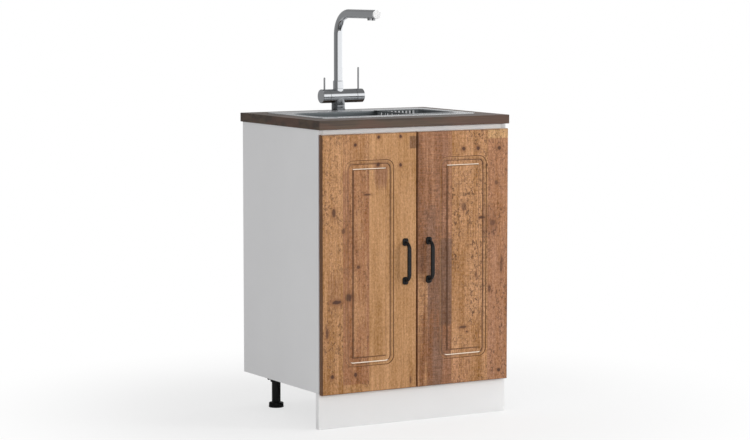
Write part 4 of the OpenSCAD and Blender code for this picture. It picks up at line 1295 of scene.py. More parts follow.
@dataclass
class Studio:
    """Camera, soft lamps, pale floor and white surroundings."""

    lens: float = 118.2
    eye: Triple = (-3.48032, -5.97776, 1.23365)
    yaw: float = 30.173
    pitch: float = 5.726
    floor_half: float = 40.0
    ambient: float = 0.5
    key: float = 57.0
    strip: float = 26.0
    fill: float = 31.0

    def build(self) -> None:
        """Sets up the studio."""
        scene = bpy.context.scene
        scene.view_settings.view_transform = "Standard"
        data = bpy.data.cameras.new("camera")
        data.lens, data.sensor_width, data.sensor_fit = self.lens, 36.0, "HORIZONTAL"
        data.clip_start, data.clip_end = 0.1, 100.0
        camera = bpy.data.objects.new("camera", data)
        yaw, pitch = math.radians(self.yaw), math.radians(self.pitch)
        look = Vector((math.sin(yaw) * math.cos(pitch), math.cos(yaw) * math.cos(pitch), -math.sin(pitch)))
        camera.location = self.eye
        camera.rotation_euler = look.to_track_quat("-Z", "Y").to_euler()
        scene.collection.objects.link(camera)
        scene.camera = camera
        self.lamp("key", (3.0, -3.0, 1.35), (0.9, 0.9), self.key)
        self.lamp("strip", (0.9, -0.3, 2.9), (2.4, 0.8), self.strip)
        self.lamp("fill", (-3.6, -2.2, 1.6), (2.0, 2.0), self.fill)
        self.floor()
        self.surroundings()

    def lamp(self, name: str, at: Triple, size: Pair, power: float) -> None:
        """Adds a soft lamp that looks at the middle of the unit; metal mirrors the surroundings instead.

        Args:
            name: its name.
            at: its place in metres.
            size: its width and depth in metres.
            power: its power in watts.
        """
        data = bpy.data.lights.new(name, "AREA")
        data.shape, data.size, data.size_y, data.energy = "RECTANGLE", size[0], size[1], power
        lamp = bpy.data.objects.new(name, data)
        lamp.location = at
        lamp.visible_glossy = False
        lamp.rotation_euler = (Vector((0.0, 0.0, 0.6)) - Vector(at)).to_track_quat("-Z", "Y").to_euler()
        bpy.context.scene.collection.objects.link(lamp)

    def floor(self) -> None:
        """Lays a pale floor that keeps the unit's shadow and looks white beside it."""
        shade = Shade(bpy.data.materials.new("studio floor"))
        at = shade.place()
        tone = shade.lift(paint(236, 236, 236), shade.grain(at, 3.0) * 0.02 + 0.99)
        lit = shade.node("ShaderNodeBsdfDiffuse", {}, {"Color": tone})
        away = shade.length(at)
        seen = shade.ray("Camera") * (away.ease(0.45, 1.3) * 0.34 + 0.66)
        x, y, _ = shade.axes(at)
        reach = away + 0.001
        level = self.side_light(x / reach, y / reach)
        mirrored = shade.ray("Glossy") * away.ease(0.7, 1.6)
        shade.end(shade.mixed(mirrored, shade.mixed(seen, lit, shade.glow()),
                              shade.glow(shade.join(level, level, level))))
        form = Form()
        half = self.floor_half
        corners = ((-half, -half), (half, -half), (half, half), (-half, half))
        form.bm.faces.new([form.bm.verts.new((x, y, 0.0)) for x, y in corners])
        floor = bpy.data.objects.new("floor", form.mesh("floor"))
        floor.data.materials.append(shade.owner)
        bpy.context.scene.collection.objects.link(floor)

    def side_light(self, x: Sock, y: Sock) -> Sock:
        """How bright metal sees a level direction: dark on the left, bright in front and on the right."""
        return (x * 0.78 - y * 0.62).ease(-0.27, 0.15) * 1.12 + y * 0.1 + 0.26

    def surroundings(self) -> None:
        """White to the camera and behind glass; softer, with a bright side, to metal."""
        world = bpy.data.worlds.new("studio")
        bpy.context.scene.world = world
        shade = Shade(world)
        x, y, z = shade.axes(shade.node("ShaderNodeTexCoord", {}, {}, "Generated"))
        low = z.ease(0.62, 0.36)
        metal = self.side_light(x, y) * low + (1.0 - low) * (z.ease(0.86, 0.94) * 0.5 + 0.22)
        white = shade.ray("Camera") | shade.ray("Transmission")
        level = shade.ray("Glossy") * (metal - self.ambient) + self.ambient
        level = white * (1.0 - level) + level
        light = shade.node("ShaderNodeBackground", {}, {"Color": WHITE, "Strength": level})
        shade.end(light, "ShaderNodeOutputWorld")


@dataclass
class Carcass:
    """Side panels, floor, rails and plinth, all with taped edges."""

    half_w: float = 300.0
    front: float = -203.5
    back: float = 238.5
    low: float = 99.0
    top: float = 815.0
    board: float = 16.0
    rail: float = 56.0
    rear_rail: float = 120.0
    low_rail: float = 70.0
    plinth_gap: float = 0.5
    notch: Pair = (64.0, 78.0)
    wall_hole: Pair = (200.0, 3.5)
    edge: float = 0.6
    crisp: float = 32.0

    def build(self, shop: Workshop) -> None:
        """Builds the boards.

        Args:
            shop: the workshop that takes the pieces.
        """
        wide, inner = self.half_w, self.half_w - self.board
        front, back, low, top = self.front, self.back, self.low, self.top
        floor = low + self.board
        for name, node, finish, form in (
                ("side_panel_left", "side_left", GREY_BOARD,
                 self.slab((-wide, front, low), (-inner, back, top))),
                ("side_panel_right", "side_right", GREY_BOARD,
                 self.slab((inner, front, low), (wide, back, top))),
                ("cabinet_floor", "bottom_panel", GREY_BOARD,
                 self.slab((-inner, front, low), (inner, back, floor))),
                # The front rail takes the lighter copy, painted light.
                ("upper_front_rail", "front_rail", LIT_FRONT_RAIL,
                 self.slab((-inner, front, top - self.board), (inner, front + self.rail, top))),
                ("lower_back_rail", "low_rear_rail", GREY_BOARD,
                 self.slab((-inner, back - self.board, floor), (inner, back, floor + self.low_rail))),
                ("upper_back_rail", "rear_rail", GREY_BOARD, self.notched(inner)),
                ("plinth_board", "plinth", WHITE_BOARD,
                 self.slab((-wide, front, 0), (wide, front + self.board, low - self.plinth_gap)))):
            shop.piece(name, form, finish, node, angle=self.crisp)

    def slab(self, low: Triple, high: Triple) -> Form:
        """A board between two corners."""
        return Form().block(low, high, self.edge)

    def notched(self, inner: float) -> Form:
        """The rear rail with its notch for the tap and the two wall holes.

        Args:
            inner: half the width between the side panels.

        Returns:
            The form.
        """
        w, h = self.notch
        low, top = self.top - self.rear_rail, self.top
        outline = [(-inner, low), (inner, low), (inner, top), (w / 2, top), (w / 2, top - h),
                   (-w / 2, top - h), (-w / 2, top), (-inner, top)]
        x, r = self.wall_hole
        holes = [circle(r, 32, (side * x, (low + top) / 2)) for side in (-1, 1)]
        upright = Matrix.Translation(spot(0, self.back, 0)) @ Matrix.Rotation(math.pi / 2, 4, "X")
        return Form().plate([outline, *holes], 0, self.board, self.edge, upright)


@dataclass
class Doors:
    """Two framed doors, each one board with a moulded frame and a raised panel."""

    hinge_edge: float = -298.0
    width: float = 296.5
    low: float = 95.0
    high: float = 802.0
    front: float = -221.5
    back: float = -205.5
    edge: float = 3.5
    frame: float = 72.0
    bead: float = 10.0
    channel: float = 16.0
    step_1: float = 1.5
    step_2: float = 3.5
    corner: float = 24.0
    crisp: float = 24.0

    def build(self, shop: Workshop) -> None:
        """Builds both doors."""
        for side, form in (("left", self.door()), ("right", self.door().mirrored())):
            shop.piece(f"moulded_door_{side}", form, DOOR_WOOD, f"door_{side}", angle=self.crisp)

    def ring(self, inset: float, depth: float, radius: float) -> Ring:
        """A rounded outline at a distance from the door's edge, sunk by a depth.

        Args:
            inset: distance inwards from the outline in mm.
            depth: how far it is sunk in mm.
            radius: corner radius in mm.

        Returns:
            The ring.
        """
        centre = (self.hinge_edge + self.width / 2, (self.low + self.high) / 2)
        outline = oblong(centre, self.width - 2 * inset, self.high - self.low - 2 * inset, radius, 10)
        return [spot(x, self.front + depth, z) for x, z in outline]

    def door(self) -> Form:
        """The left door from its back, over the round edge, to the raised panel.

        Returns:
            The form.
        """
        e, c, f = self.edge, self.corner, self.frame
        s1, s2 = self.step_1, self.step_2
        second = f + self.bead
        panel = second + self.channel
        thick = self.back - self.front
        rows = [(0.4, thick, 0.4), (0, thick - 0.4, 0.5)]
        rows += [(e * (1 - math.cos(a)), e * (1 - math.sin(a)), 0.5 + 0.3 * i)
                 for i, a in enumerate(quarter(6))]
        rows += [(f - 0.5, 0, c), (f - 0.1, 0.25, c - 0.3), (f + 1.6, s1 + 0.3, c - 1.4),
                 (f + 2.0, s1 + 0.4, c - 1.7), (f + 2.8, s1, c - 2.4), (second - 1.0, s1 - 0.1, c - 8),
                 (second - 0.6, s1 + 0.1, c - 8.4), (second + 2.2, s2, c - 10.4), (second + 3.2, s2, c - 12),
                 (panel - 3.6, s2, 3), (panel - 3.2, s2 - 0.2, 2.6), (panel + 0.6, 0.35, 1.2),
                 (panel + 1.0, 0.1, 1.1), (panel + 1.6, 0, 0.8)]
        return Form().loft([self.ring(*row) for row in rows])


@dataclass
class Handles:
    """Bow handles: a flat grip that narrows to two small feet."""

    x: float = -37.5
    z: float = 447.0
    front: float = -221.5
    pitch: float = 107.0
    reach: float = 25.0
    width: float = 12.0
    thick: float = 6.0
    post: float = 5.0
    bend: float = 21.0
    taper: float = 0.6
    foot: Triple = (18.0, 21.0, 3.5)

    def build(self, shop: Workshop) -> None:
        """Builds both handles."""
        for side, form in (("left", self.handle()), ("right", self.handle().mirrored())):
            shop.piece(f"bow_handle_{side}", form, BLACK_METAL, f"handle_{side}", angle=50)

    def handle(self) -> Form:
        """The left handle.

        Returns:
            The form.
        """
        form = Form()
        line = self.line()
        neighbours = zip([line[0]] + line, line, line[1:] + [line[-1]])
        form.loft([self.section(here, (after[0] - before[0], after[1] - before[1]))
                   for before, here, after in neighbours])
        w, h, t = self.foot
        steps = ((0.3, 0), (0, 0.4), (0, t - 1.6), (0.5, t - 0.7), (1.6, t - 0.15), (4.0, t + 0.5),
                 (6.5, t + 0.7))
        for side in (-1, 1):
            rings = []
            for inset, out in steps:
                mid = self.z + side * self.pitch / 2
                outline = oblong((self.x, mid), w - 2 * inset, h - 2 * inset, max(6 - inset, 1.2), 6)
                rings.append([spot(px, self.front - out, pz) for px, pz in outline])
            form.loft(rings)
            dome = along("-Y", self.x, self.front - t, self.z + side * (self.pitch / 2 + 7))
            form.turned([(0, 0), (2.4, 0), (2.3, 0.8), (1.7, 1.7), (0.9, 2.2), (0, 2.35)], dome, steps=24)
        return form

    def line(self) -> list[Pair]:
        """The bow's middle line from the lower foot to the upper one: place along and off the door.

        Returns:
            Its points.
        """
        half, top = self.pitch / 2, self.reach - self.thick / 2
        rise = [(half, 0.5)]
        rise += [(half - self.bend * (1 - math.cos(a)), self.post + (top - self.post) * math.sin(a))
                 for a in quarter(14)]
        return [(-z, out) for z, out in rise] + rise[::-1]

    def section(self, here: Pair, way: Pair) -> Ring:
        """The bow's cross-section, square to its direction.

        Args:
            here: place along and off the door.
            way: the bow's direction there.

        Returns:
            The ring.
        """
        z, out = here
        long = math.hypot(*way)
        share = math.sin(min(1.0, (self.pitch / 2 - abs(z)) / self.bend) * math.pi / 2)
        width = self.width * (self.taper + (1 - self.taper) * share)
        return [spot(self.x + px, self.front - out - pt * way[0] / long, self.z + z - pt * way[1] / long)
                for px, pt in oblong((0, 0), width, self.thick, 2.4, 4)]


@dataclass
class Worktop:
    """Laminate board with cut-outs for the sink and the tap."""

    half_w: float = 303.0
    front: float = -217.5
    back: float = 246.5
    low: float = 815.0
    high: float = 840.0
    cut: Triple = (486.0, 302.0, 22.0)
    cut_y: float = 31.5
    tap_hole: Pair = (219.5, 17.5)
    edge: float = 1.0
    crisp: float = 32.0

    def build(self, shop: Workshop) -> None:
        """Builds the worktop.

        Args:
            shop: the workshop that takes the pieces.
        """
        w, d, r = self.cut
        x = self.half_w
        board = [(-x, self.front), (x, self.front), (x, self.back), (-x, self.back)]
        y, hole = self.tap_hole
        outlines = [board, oblong((0, self.cut_y), w, d, r), circle(hole, 48, (0, y))]
        form = Form().plate(outlines, self.low, self.high, self.edge)
        shop.piece("worktop_board", form, WORKTOP, "worktop", angle=self.crisp)


@dataclass
class Sink:
    """Pressed steel sink: folded flange, ledge and one bowl with a drain."""

    flange: Triple = (510.0, 326.0, 28.0)
    flange_y: float = 31.5
    flange_z: float = 842.0
    bowl: Triple = (450.0, 203.0, 45.0)
    bowl_y: float = 8.0
    floor_z: float = 692.0
    floor_r: float = 22.0
    sheet: float = 1.2
    drain: Triple = (-20.0, 8.0, 44.0)
    rim_strips: int = 6

    def build(self, shop: Workshop) -> None:
        """Builds the sink as one closed sheet; the rim's strips take the plain steel and the bowl's strips a
        darker copy, painted shade that is darkest just below the rim.

        Args:
            shop: the workshop that takes the pieces.
        """
        rings = self.skin(0.0) + self.skin(self.sheet)[::-1]
        last = len(rings) - self.rim_strips - 1
        # The bowl's strips take the darker copy of the steel, painted shade.
        slots = [0 if i < self.rim_strips or i >= last else 1 for i in range(len(rings))]
        form = Form().loft(rings, ring=True, slot=slots)
        shop.piece("pressed_sink", form, (STEEL, SHADED_BOWL_FINISH), "sink")

    def rim(self, inset: float, z: float, bowl: bool) -> Ring:
        """A ring at an inset from the flange's or the bowl's outline.

        Args:
            inset: distance inwards from the outline in mm.
            z: height in mm.
            bowl: whether it follows the bowl and not the flange.

        Returns:
            The ring.
        """
        w, d, r = self.bowl if bowl else self.flange
        y = self.bowl_y if bowl else self.flange_y
        outline = oblong((0, y), w - 2 * inset, d - 2 * inset, max(r - inset, 1.0), 12)
        return [spot(px, py, z) for px, py in outline]

    def skin(self, under: float) -> list[Ring]:
        """The upper face of the sheet, or its lower face where under is the sheet's thickness.

        Args:
            under: 0, or the sheet's thickness for the lower face.

        Returns:
            Its rings in order.
        """
        top, u, r = self.flange_z, under, self.floor_r
        rows = [(u, top - 1.9, False), (0.1 + u, top - 0.3 - u * 0.6, False),
                (0.3 + u, top - 0.1 - u * 0.9, False), (1.0 + u, top - u, False), (5.0, top - u, False),
                (-3.5 - u * 0.2, top - u, True), (-1.2 - u * 0.7, top - 0.9 - u * 0.6, True),
                (-u, top - 3.6 - u * 0.2, True), (-u, top - 5.0, True), (-u, self.floor_z + r, True)]
        rows += [(r * (1 - math.cos(a)) - u * math.cos(a),
                  self.floor_z + r * (1 - math.sin(a)) - u * math.sin(a), True) for a in quarter(8)[1:]]
        rings = [self.rim(*row) for row in rows]
        x, y, hole = self.drain
        floor = self.floor_z - u
        last = rings[-1]
        for share in (0.35, 0.7, 0.93, 1.0):
            loop = []
            for point in last:
                way = Vector((point.x - x * MM, point.y - y * MM, 0)).normalized() * hole * MM
                end = Vector((x * MM + way.x, y * MM + way.y, floor * MM))
                loop.append(Vector(point).lerp(end, share))
            for point in loop:
                point.z = floor * MM
            rings.append(loop)
        return rings


@dataclass
class Colander:
    """Lift-out steel tub with slots between upright bars, hung on the flange."""

    x: float = 130.0
    y: float = 8.0
    z: float = 842.3
    width: float = 150.0
    depth: float = 195.0
    rim: float = 12.0
    height: float = 92.0
    sheet: float = 1.2
    corner: float = 18.0
    floor_r: float = 14.0
    slot_low: float = 22.0
    slot_top: float = 3.0
    pitch: float = 12.0
    bar: float = 6.0

    def build(self, shop: Workshop) -> None:
        """Builds the colander; the rim takes the plain steel, and the bars, pan, corners and inner bands take lit
        and shaded copies, painted light and painted shade.

        Args:
            shop: the workshop that takes the pieces.
        """
        form = Form()
        t = self.sheet
        out, c, low = -self.rim, self.corner, -self.slot_top
        rows = ((out, 0.35, 12, True), (out, t - 0.2, 12, True), (out + 0.6, t + 0.25, 11.5, True),
                (out + 2.4, t + 0.25, 11, True), (-1.2, t, c, False), (t, t - 0.8, c - t, False),
                (t, low, c - t, False), (0, low, c, False), (0, -0.4, c, False), (-1.5, 0, c, False))
        # The inner bands under the rim take the shaded copy, painted shade.
        form.loft([self.ring(*row) for row in rows], ring=True, slot=(2, 2, 2, 2, 2, 1, 1, 1, 1, 2))
        form.loft(self.pan(0.0) + self.pan(t)[::-1], (False, False), slot=1)
        self.bars(form, shop)
        shop.piece("colander", form, (LIT_COLANDER_STEEL, SHADE_STEEL, STEEL), "strainer_insert")

    def ring(self, inset: float, z: float, radius: float, ends: bool) -> Ring:
        """An outline of the tub; ends widens only the front and back.

        Args:
            inset: distance inwards from the outline in mm.
            z: height over the rim's seat in mm.
            radius: corner radius in mm.
            ends: whether only front and back are moved.

        Returns:
            The ring.
        """
        wide = 0.0 if ends else inset
        outline = oblong((self.x, self.y), self.width - 2 * wide, self.depth - 2 * inset, max(radius, 1.0), 8)
        return [spot(px, py, self.z + z) for px, py in outline]

    def pan(self, under: float) -> list[Ring]:
        """The closed lower part, outside or inside.

        Args:
            under: 0, or the sheet's thickness for the lower face.

        Returns:
            Its rings in order.
        """
        low = self.slot_low - self.height
        r = self.floor_r
        rings = [self.ring(under, low, self.corner - under, False)]
        for angle in quarter(6):
            inset = r * (1 - math.cos(angle)) + under * math.cos(angle)
            z = -self.height + r * (1 - math.sin(angle)) + under * math.sin(angle)
            rings.append(self.ring(inset, z, self.corner - inset, False))
        middle = [Vector((self.x * MM, self.y * MM, p.z)).lerp(p, 0.02) for p in rings[-1]]
        return rings + [middle]

    def bars(self, form: Form, shop: Workshop) -> None:
        """Upright bars between the slots, in rows on the four walls, with solid corners; the front and back rows
        take the lit copy of the steel and the side rows the shaded copy, painted light and painted shade.

        Args:
            form: the form that gets them.
            shop: the workshop that takes the pieces.
        """
        tall = self.height - self.slot_low - self.slot_top
        z = self.z - self.slot_top - tall / 2
        t, half = self.sheet, tall / 2 + 0.5
        for along_x, count, wall in ((True, 10, self.depth / 2), (False, 14, self.width / 2)):
            size = (self.bar / 2, t / 2) if along_x else (t / 2, self.bar / 2)
            step = (self.pitch, 0, 0) if along_x else (0, self.pitch, 0)
            for side in (-1, 1):
                bar = Form().block((-size[0], -size[1], -half), (size[0], size[1], half), 0.4)
                first = -(count - 1) / 2 * self.pitch
                off = side * (wall - t / 2)
                arm = (self.x + first, self.y + off, z) if along_x else (self.x + off, self.y + first, z)
                # Front and back rows take the lit copy, painted light; side rows the shaded copy, painted shade.
                form.take(shop.copies.place(bar, LIT_COLANDER_STEEL, count, arm, step), 0 if along_x else 1)
        self.corners(form, z, half)

    def corners(self, form: Form, z: float, half: float) -> None:
        """The four upright corner strips, a little past the bends.

        Args:
            form: the form that gets them.
            z: height of their middle.
            half: half their height in mm.
        """
        outer, inner = (oblong((self.x, self.y), self.width - 2 * in_by, self.depth - 2 * in_by,
                               self.corner - in_by) for in_by in (0.0, self.sheet))
        share = len(outer) // 4
        for start in range(0, len(outer), share):
            loop = outer[start:start + share] + inner[start:start + share][::-1]
            form.loft([[spot(px, py, level) for px, py in loop] for level in (z - half, z + half)], slot=1)


@dataclass
class Waste:
    """Basket waste, bottle trap and the pipe to the wall."""

    x: float = -20.0
    y: float = 8.0
    bowl_z: float = 692.0
    basket_z: float = 693.8
    pan_z: float = 650.3
    pipe_r: float = 20.0
    socket_r: float = 20.1
    bore_r: float = 17.6
    neck_r: float = 24.0
    trap_r: float = 37.0
    outlet_z: float = 470.0
    outlet_y: float = 61.1
    wall_y: float = 244.5

    def build(self, shop: Workshop) -> None:
        """Builds the parts from the drain to the wall.

        Args:
            shop: the workshop that takes the pieces.
        """
        p, s, b, n = self.pipe_r, self.socket_r, self.bore_r, self.neck_r
        shop.turned("drain_ring", "waste_flange", STEEL, self.upright(self.bowl_z), (
            (14, -32), (40, -32), (42, -30), (42, 0), (55.6, 0), (56, 0.4), (55, 1.3), (52, 1.5), (44, 1.3),
            (41.6, 0.4), (40.8, -1), (40.8, -30.8), (14, -30.8)))
        self.basket(shop)
        shop.turned("waste_pan", "waste_body", WHITE_PLASTIC, self.upright(self.pan_z), (
            (42.1, 38), (56, 38), (56, 34.6), (55.4, 34), (45.2, 34), (44.6, 33), (44.6, 2), (43, 0), (n, 0),
            (n, -29), (23.2, -30), (s, -30), (s, -2), (b, -2), (b, 3), (42.1, 3)))
        shop.turned("tail_tube", "tail_pipe", WHITE_PLASTIC, self.upright(0), (
            (p, 434), (p, 636.3), (b, 636.3), (b, 434)))
        self.trap(shop)
        self.nuts(shop)
        long = self.wall_y - self.outlet_y
        wall = along("Y", self.x, self.outlet_y, self.outlet_z)
        shop.turned("outlet_tube", "outlet_pipe", WHITE_PLASTIC, wall, (
            (p, 0), (p, 29.6), (19.6, 29.8), (19.6, 30.3), (p, 30.5), (p, long), (b, long), (b, 0)))

    def upright(self, z: float) -> Matrix:
        """A frame on the drain's axis."""
        return along("Z", self.x, self.y, z)

    def basket(self, shop: Workshop) -> None:
        """The strainer basket: a turned cup on a pierced floor, with a knob.

        Args:
            shop: the workshop that takes the pieces.
        """
        at = self.upright(self.basket_z)
        form = Form().turned((
            (31.5, -26), (33, -26), (38.2, -21.5), (39, -20), (39, -1), (39.8, 0), (43.6, 0), (44, 0.5),
            (43.4, 1), (39.2, 1), (38, 0), (38, -19.6), (32.4, -25), (31.5, -25)), at, ring=True)
        outlines = [circle(32, 32, (self.x, self.y))]
        for count, radius in ((12, 25.5), (6, 13.0)):
            outlines += [circle(2.6, 16, hole) for hole in circle(radius, count, (self.x, self.y))]
        form.plate(outlines, self.basket_z - 26, self.basket_z - 25, 0.1)
        form.turned(((0, -26), (3, -25), (3, -11), (5, -9.4), (6, -6), (5, -2.4), (2.6, -0.6), (0, -0.1)), at,
                    steps=32)
        shop.piece("basket", form, STEEL, "waste_basket")

    def trap(self, shop: Workshop) -> None:
        """The bottle trap and its screwed cup with grip ribs.

        Args:
            shop: the workshop that takes the pieces.
        """
        r, s, b, n = self.trap_r, self.socket_r, self.bore_r, self.neck_r
        at, wall = self.upright(0), along("Y", self.x, self.y, self.outlet_z)
        form = Form().turned((
            (33, 358), (33, 384.5), (r, 384.5), (r, 494), (36, 497.5), (29.5, 503.6), (n, 504), (n, 524),
            (s, 524), (s, 488), (30, 488), (30, 358)), at, ring=True)
        form.turned(((n, 20), (n, 76), (23.4, 77), (s, 77), (s, 53), (b, 53), (b, 20)), wall, ring=True)
        form.turned(((27, 33), (27, 37.5), (25.5, 40), (n, 40), (n, 33)), wall, ring=True)
        shop.piece("bottle_trap", form, WHITE_PLASTIC, "trap_body")
        cup = Form().turned((
            (0, 346), (25, 346), (33, 353), (35, 356), (36.4, 359), (36.4, 383), (36.8, 384), (33.1, 384),
            (33.1, 357.9), (24, 350), (0, 350)), at)
        shop.ribs(cup, Form().block((34.9, -1.9, 363), (37, 1.9, 383), 0.8), WHITE_PLASTIC, 24, at)
        shop.piece("trap_bottom", cup, WHITE_PLASTIC, "trap_cup")

    def nuts(self, shop: Workshop) -> None:
        """Three union nuts with rounded grip ribs.

        Args:
            shop: the workshop that takes the pieces.
        """
        s, n = self.socket_r, self.neck_r + 0.1
        form = Form()
        for at in (self.upright(615.4), along("-Z", self.x, self.y, 528.9),
                   along("-Y", self.x, 89.9, self.outlet_z)):
            form.turned(((s, 0), (25.5, 0), (27.6, 1.5), (27.8, 3), (27.8, 18.6), (27, 20), (n, 20), (n, 4),
                         (s, 4)), at, ring=True)
            rib = Form().turned(((0, 3.4), (1.4, 3.4), (2.1, 4.2), (2.1, 18.6), (1.4, 19.4), (0, 19.4)),
                                Matrix.Identity(4), steps=10)
            shop.ribs(form, rib, WHITE_PLASTIC, 18, at, 27.0)
        shop.piece("union_nuts", form, WHITE_PLASTIC, "pipe_nuts")


@dataclass
class Tap:
    """Two-lever mixer tap with a high, angular spout."""

    y: float = 219.5
    foot_z: float = 841.5
    body_z: float = 855.5
    axis_z: float = 881.0
    neck_z: float = 884.0
    collar_z: Pair = (903.0, 925.0)
    bore_r: float = 16.1
    channel_r: float = 14.1
    left: float = -33.0
    right: float = 54.0
    body_r: float = 20.0
    stem_r: float = 19.5
    cap: float = 24.0
    cap_bore: Pair = (5.05, 16.1)
    gap: float = 0.4
    spout_r: float = 12.5
    socket_r: float = 12.6
    collar_r: float = 15.0
    spout_z: float = 1118.5
    bend: float = 62.0
    reach: float = 222.0
    disc: float = 3.0
    nozzles: Pair = (179.0, 202.0)
    rod_r: float = 2.5
    rod_z: float = 893.0
    rod_tips: Pair = (935.0, 963.0)
    shank: Pair = (755.0, 858.4)
    shank_r: Pair = (13.0, 16.0)
    thread: Triple = (756.0, 834.0, 1.5)
    thread_depth: float = 0.6

    def build(self, shop: Workshop) -> None:
        """Builds the tap.

        Args:
            shop: the workshop that takes the pieces.
        """
        up = along("Z", 0, self.y, 0)
        r, b, c, s = self.stem_r, self.body_r, self.collar_r, self.socket_r
        bore, hole, low, mid = self.bore_r, self.channel_r, self.foot_z, self.body_z
        ring_low, ring_top = self.collar_z
        # The pedestal and the upright body take the darker copy of the chrome, painted shade.
        shop.turned("tap_foot", "tap_pedestal", SHADED_CHROME, up, (
            (bore, low), (r - 0.4, low), (r, low + 0.4), (r, mid - 0.5), (r - 0.3, mid), (bore, mid)))
        body = Form().turned((
            (bore, mid), (r - 0.3, mid), (r, mid + 0.4), (r, self.axis_z), (bore, self.axis_z)), up, ring=True,
                             slot=1)
        long = self.right - self.left
        body.turned(((hole, 0), (b - 0.6, 0), (b, 0.6), (b, long - 0.6), (b - 0.6, long), (hole, long)),
                    along("X", self.left, self.y, self.axis_z), ring=True, steps=96)
        body.turned(((s, self.neck_z), (c, self.neck_z), (c, ring_low - 0.3), (c - 0.3, ring_low),
                     (s, ring_low)), up, ring=True)
        shop.piece("tap_casting", body, (CHROME, SHADED_CHROME), "tap_body")
        self.caps(shop)
        shop.turned("spout_ring", "spout_collar", CHROME, up, (
            (s, ring_low), (c - 0.3, ring_low), (c, ring_low + 0.4), (c, ring_top - 2.4),
            (c - 0.4, ring_top - 0.8), (c - 1.4, ring_top), (s, ring_top)))
        z, end = self.spout_z, self.y - self.reach + self.disc
        line = ((0, self.y, self.neck_z), (0, self.y, z), (0, end, z))
        tube = Form().take(shop.pipes.draw(line, self.bend, self.spout_r, CHROME))
        shop.piece("spout_tube", tube, CHROME, "spout")
        shop.turned("spout_disc", "spout_end", CAP_PLASTIC, along("-Y", 0, end, z), (
            (0, -6), (10.9, -6), (10.9, 0), (12.5, 0), (12.5, 2.0), (12.1, 2.7), (11.4, 3), (8, 2.9),
            (0, 2.8)), ring=False)
        nozzles = Form()
        for out in self.nozzles:
            nozzles.turned(((4, -2.5), (5.5, -2.5), (5.5, 4.2), (5.0, 5), (4.2, 5), (4, 4.2)),
                           along("-Z", 0, self.y - out, z - self.spout_r), ring=True, steps=32)
        shop.piece("spray_outlets", nozzles, SATIN, "spout_nozzles")
        self.threaded(shop, up)

    def caps(self, shop: Workshop) -> None:
        """The turning caps and their rods.

        Args:
            shop: the workshop that takes the pieces.
        """
        b, cap, rod = self.body_r, self.cap, self.rod_r
        bore, deep = self.cap_bore
        for name, side, face, tip in (("left", -1, self.left, self.rod_tips[0]),
                                      ("right", 1, self.right, self.rod_tips[1])):
            start = face + side * self.gap
            at = along("-X" if side < 0 else "X", start, self.y, self.axis_z)
            shop.turned(f"lever_hub_{name}", f"lever_cap_{name}", CHROME, at, (
                (bore, 0), (b - 0.4, 0), (b, 0.4), (b, cap - 1.3), (b - 0.5, cap - 0.35), (b - 1.3, cap),
                (0, cap), (0, deep), (bore, deep)), ring=False, steps=96)
            at = along("Z", start + side * cap / 2, self.y, 0)
            shop.turned(f"lever_pin_{name}", f"lever_rod_{name}", SATIN, at, (
                (0, self.rod_z), (rod, self.rod_z), (rod, tip - 2.5), (rod - 0.3, tip - 1.1),
                (rod - 1.2, tip - 0.3), (0, tip)), ring=False, steps=32, angle=50)

    def threaded(self, shop: Workshop, up: Matrix) -> None:
        """The threaded shank under the worktop.

        Args:
            shop: the workshop that takes the pieces.
            up: the tap's upright frame.
        """
        low, high = self.shank
        bore, crest = self.shank_r
        root = crest - self.thread_depth
        z, top, pitch = self.thread
        profile: list[Pair] = [(bore, low), (root, low)]
        while z < top:
            profile += [(root, z), (crest, z + 0.5), (root, z + 1.0)]
            z += pitch
        profile += [(crest, top + 4), (crest, high), (bore, high)]
        shop.turned("threaded_shank", "tap_shank", PLATED, up, profile, steps=40, angle=20)


@dataclass
class Legs:
    """Adjustable legs: sockets, tubes and ribbed feet; the profiles hold radius and height."""

    sites: tuple[tuple[str, float, float], ...] = (
        ("front_left", -230, -149.5), ("rear_left", -230, 174.5), ("front_right", 230, -149.5),
        ("rear_right", 230, 174.5))
    underside: float = 99.0
    plate: Pair = (32.0, 95.0)
    cup: Triple = (12.6, 16.8, 73.0)
    peg: Pair = (5.0, 107.0)
    tube: Triple = (10.0, 12.5, 94.0)
    tube_low: float = 15.0
    foot: Pair = (21.5, 19.4)
    stem: Triple = (9.9, 14.0, 59.0)

    def build(self, shop: Workshop) -> None:
        """Builds the four legs.

        Args:
            shop: the workshop that takes the pieces.
        """
        sockets, tubes = Form(), Form()
        top = self.underside
        wide, plate = self.plate
        hole, cup, low = self.cup
        peg, peg_top = self.peg
        bore, tube, tube_top = self.tube
        base, grip = self.foot
        stem, shoulder, stem_top = self.stem
        for name, x, y in self.sites:
            at = along("Z", x, y, 0)
            sockets.turned((
                (hole, low), (cup - 1.2, low), (cup - 0.4, low + 1), (cup, plate), (wide - 0.6, plate),
                (wide, plate + 0.6), (wide, top), (peg, top), (peg, peg_top), (0, peg_top), (0, plate),
                (hole, plate)), at)
            shop.ribs(sockets, Form().block((15.5, -1.4, 80), (27, 1.4, 95.5), 0.5), BLACK_PLASTIC, 8, at)
            tubes.turned(((bore, self.tube_low), (tube - 0.3, self.tube_low), (tube, self.tube_low + 0.6),
                          (tube, tube_top), (bore, tube_top)), at, ring=True)
            foot = Form().turned((
                (0, 0), (base - 0.9, 0), (base, 0.9), (base, 3.4), (base - 0.9, 4), (grip, 4.6),
                (grip, shoulder - 1), (grip - 1, shoulder), (stem, shoulder), (stem, stem_top), (0, stem_top)), at)
            shop.ribs(foot, Form().block((18.6, -1.5, 4), (20.9, 1.5, 13.2), 0.7), BLACK_PLASTIC, 20, at)
            shop.piece(f"round_foot_{name}", foot, BLACK_PLASTIC, f"foot_{name}")
        shop.piece("leg_plates", sockets, BLACK_PLASTIC, "leg_sockets")
        shop.piece("leg_columns", tubes, BLACK_PLASTIC, "leg_tubes")


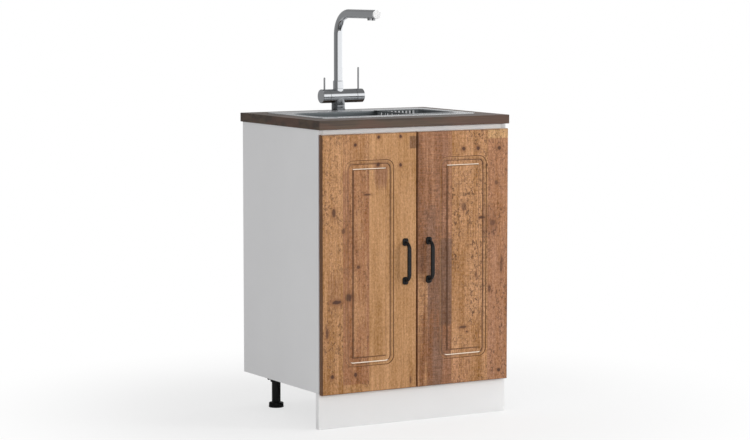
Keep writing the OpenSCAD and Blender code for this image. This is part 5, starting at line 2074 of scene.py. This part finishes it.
@dataclass
class Fasteners:
    """Small pan-head screws on the hinges, and the soft door pads."""

    hinge_z: Pair = (195.0, 702.0)
    front: float = -203.5
    door_back: float = -205.5
    inner: float = 284.0
    cup_x: float = 270.0
    wing: float = 26.0
    plate: Pair = (281.5, -166.5)
    head: Pair = (3.6, 3.2)

    def build(self, shop: Workshop) -> None:
        """Builds the screws and pads.

        Args:
            shop: the workshop that takes the pieces.
        """
        plates, pads = Form(), Form()
        for side in (-1, 1):
            for z in self.hinge_z:
                at = along("X" if side < 0 else "-X", side * self.plate[0], self.plate[1], z)
                plates.take(self.screws(shop, self.head[0], at, 2, 32))
            for x, z in ((side * (self.inner + 4), 772), (side * 20, 107)):
                pads.turned([(0, 0), (3.5, 0), (3.5, 0.7), (3, 1.4), (1.8, 1.65), (0, 1.7)],
                            along("-Y", x, self.front, z), steps=32)
        shop.piece("hinge_plate_screws", plates, PLATED, body="carcass")
        shop.piece("door_pads", pads, CLEAR, "door_bumpers", angle=60)
        for name, side in (("left", -1), ("right", 1)):
            cups = Form()
            for z in self.hinge_z:
                for up in (-self.wing, self.wing):
                    at = along("Y", side * self.cup_x, self.door_back + 1.2, z + up)
                    cups.take(self.screws(shop, self.head[1], at))
            shop.piece(f"hinge_cup_screws_{name}", cups, PLATED, body=f"door_{name}")

    def screws(self, shop: Workshop, r: float, at: Matrix, count: int = 1,
               apart: float = 0.0) -> bpy.types.Mesh:
        """Pan heads in a row, above and below the frame's middle.

        Args:
            shop: the workshop that takes the pieces.
            r: radius of a head in mm.
            at: frame of the row.
            count: how many.
            apart: from one to the next in mm.

        Returns:
            The screws as one mesh.
        """
        head = Form().turned([(0, 0), (r, 0), (r, 0.5), (r * 0.8, 1.2), (r * 0.5, 1.5), (0, 1.55)],
                             Matrix.Identity(4), steps=20)
        return shop.copies.place(head, PLATED, count, (0, -apart * (count - 1) / 2, 0), (0, apart, 0), at=at)


def main() -> None:
    """Builds the scene."""
    logging.basicConfig(level=logging.INFO, format="%(name)s %(message)s")
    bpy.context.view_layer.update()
    shop = Workshop()
    Studio().build()
    shop.dress_frame()
    for assembly in (Carcass(), Doors(), Handles(), Worktop(), Sink(), Colander(), Waste(), Tap(), Legs(),
                     Fasteners()):
        LOG.info("building %s", type(assembly).__name__)
        assembly.build(shop)


if __name__ == "__main__":
    main()
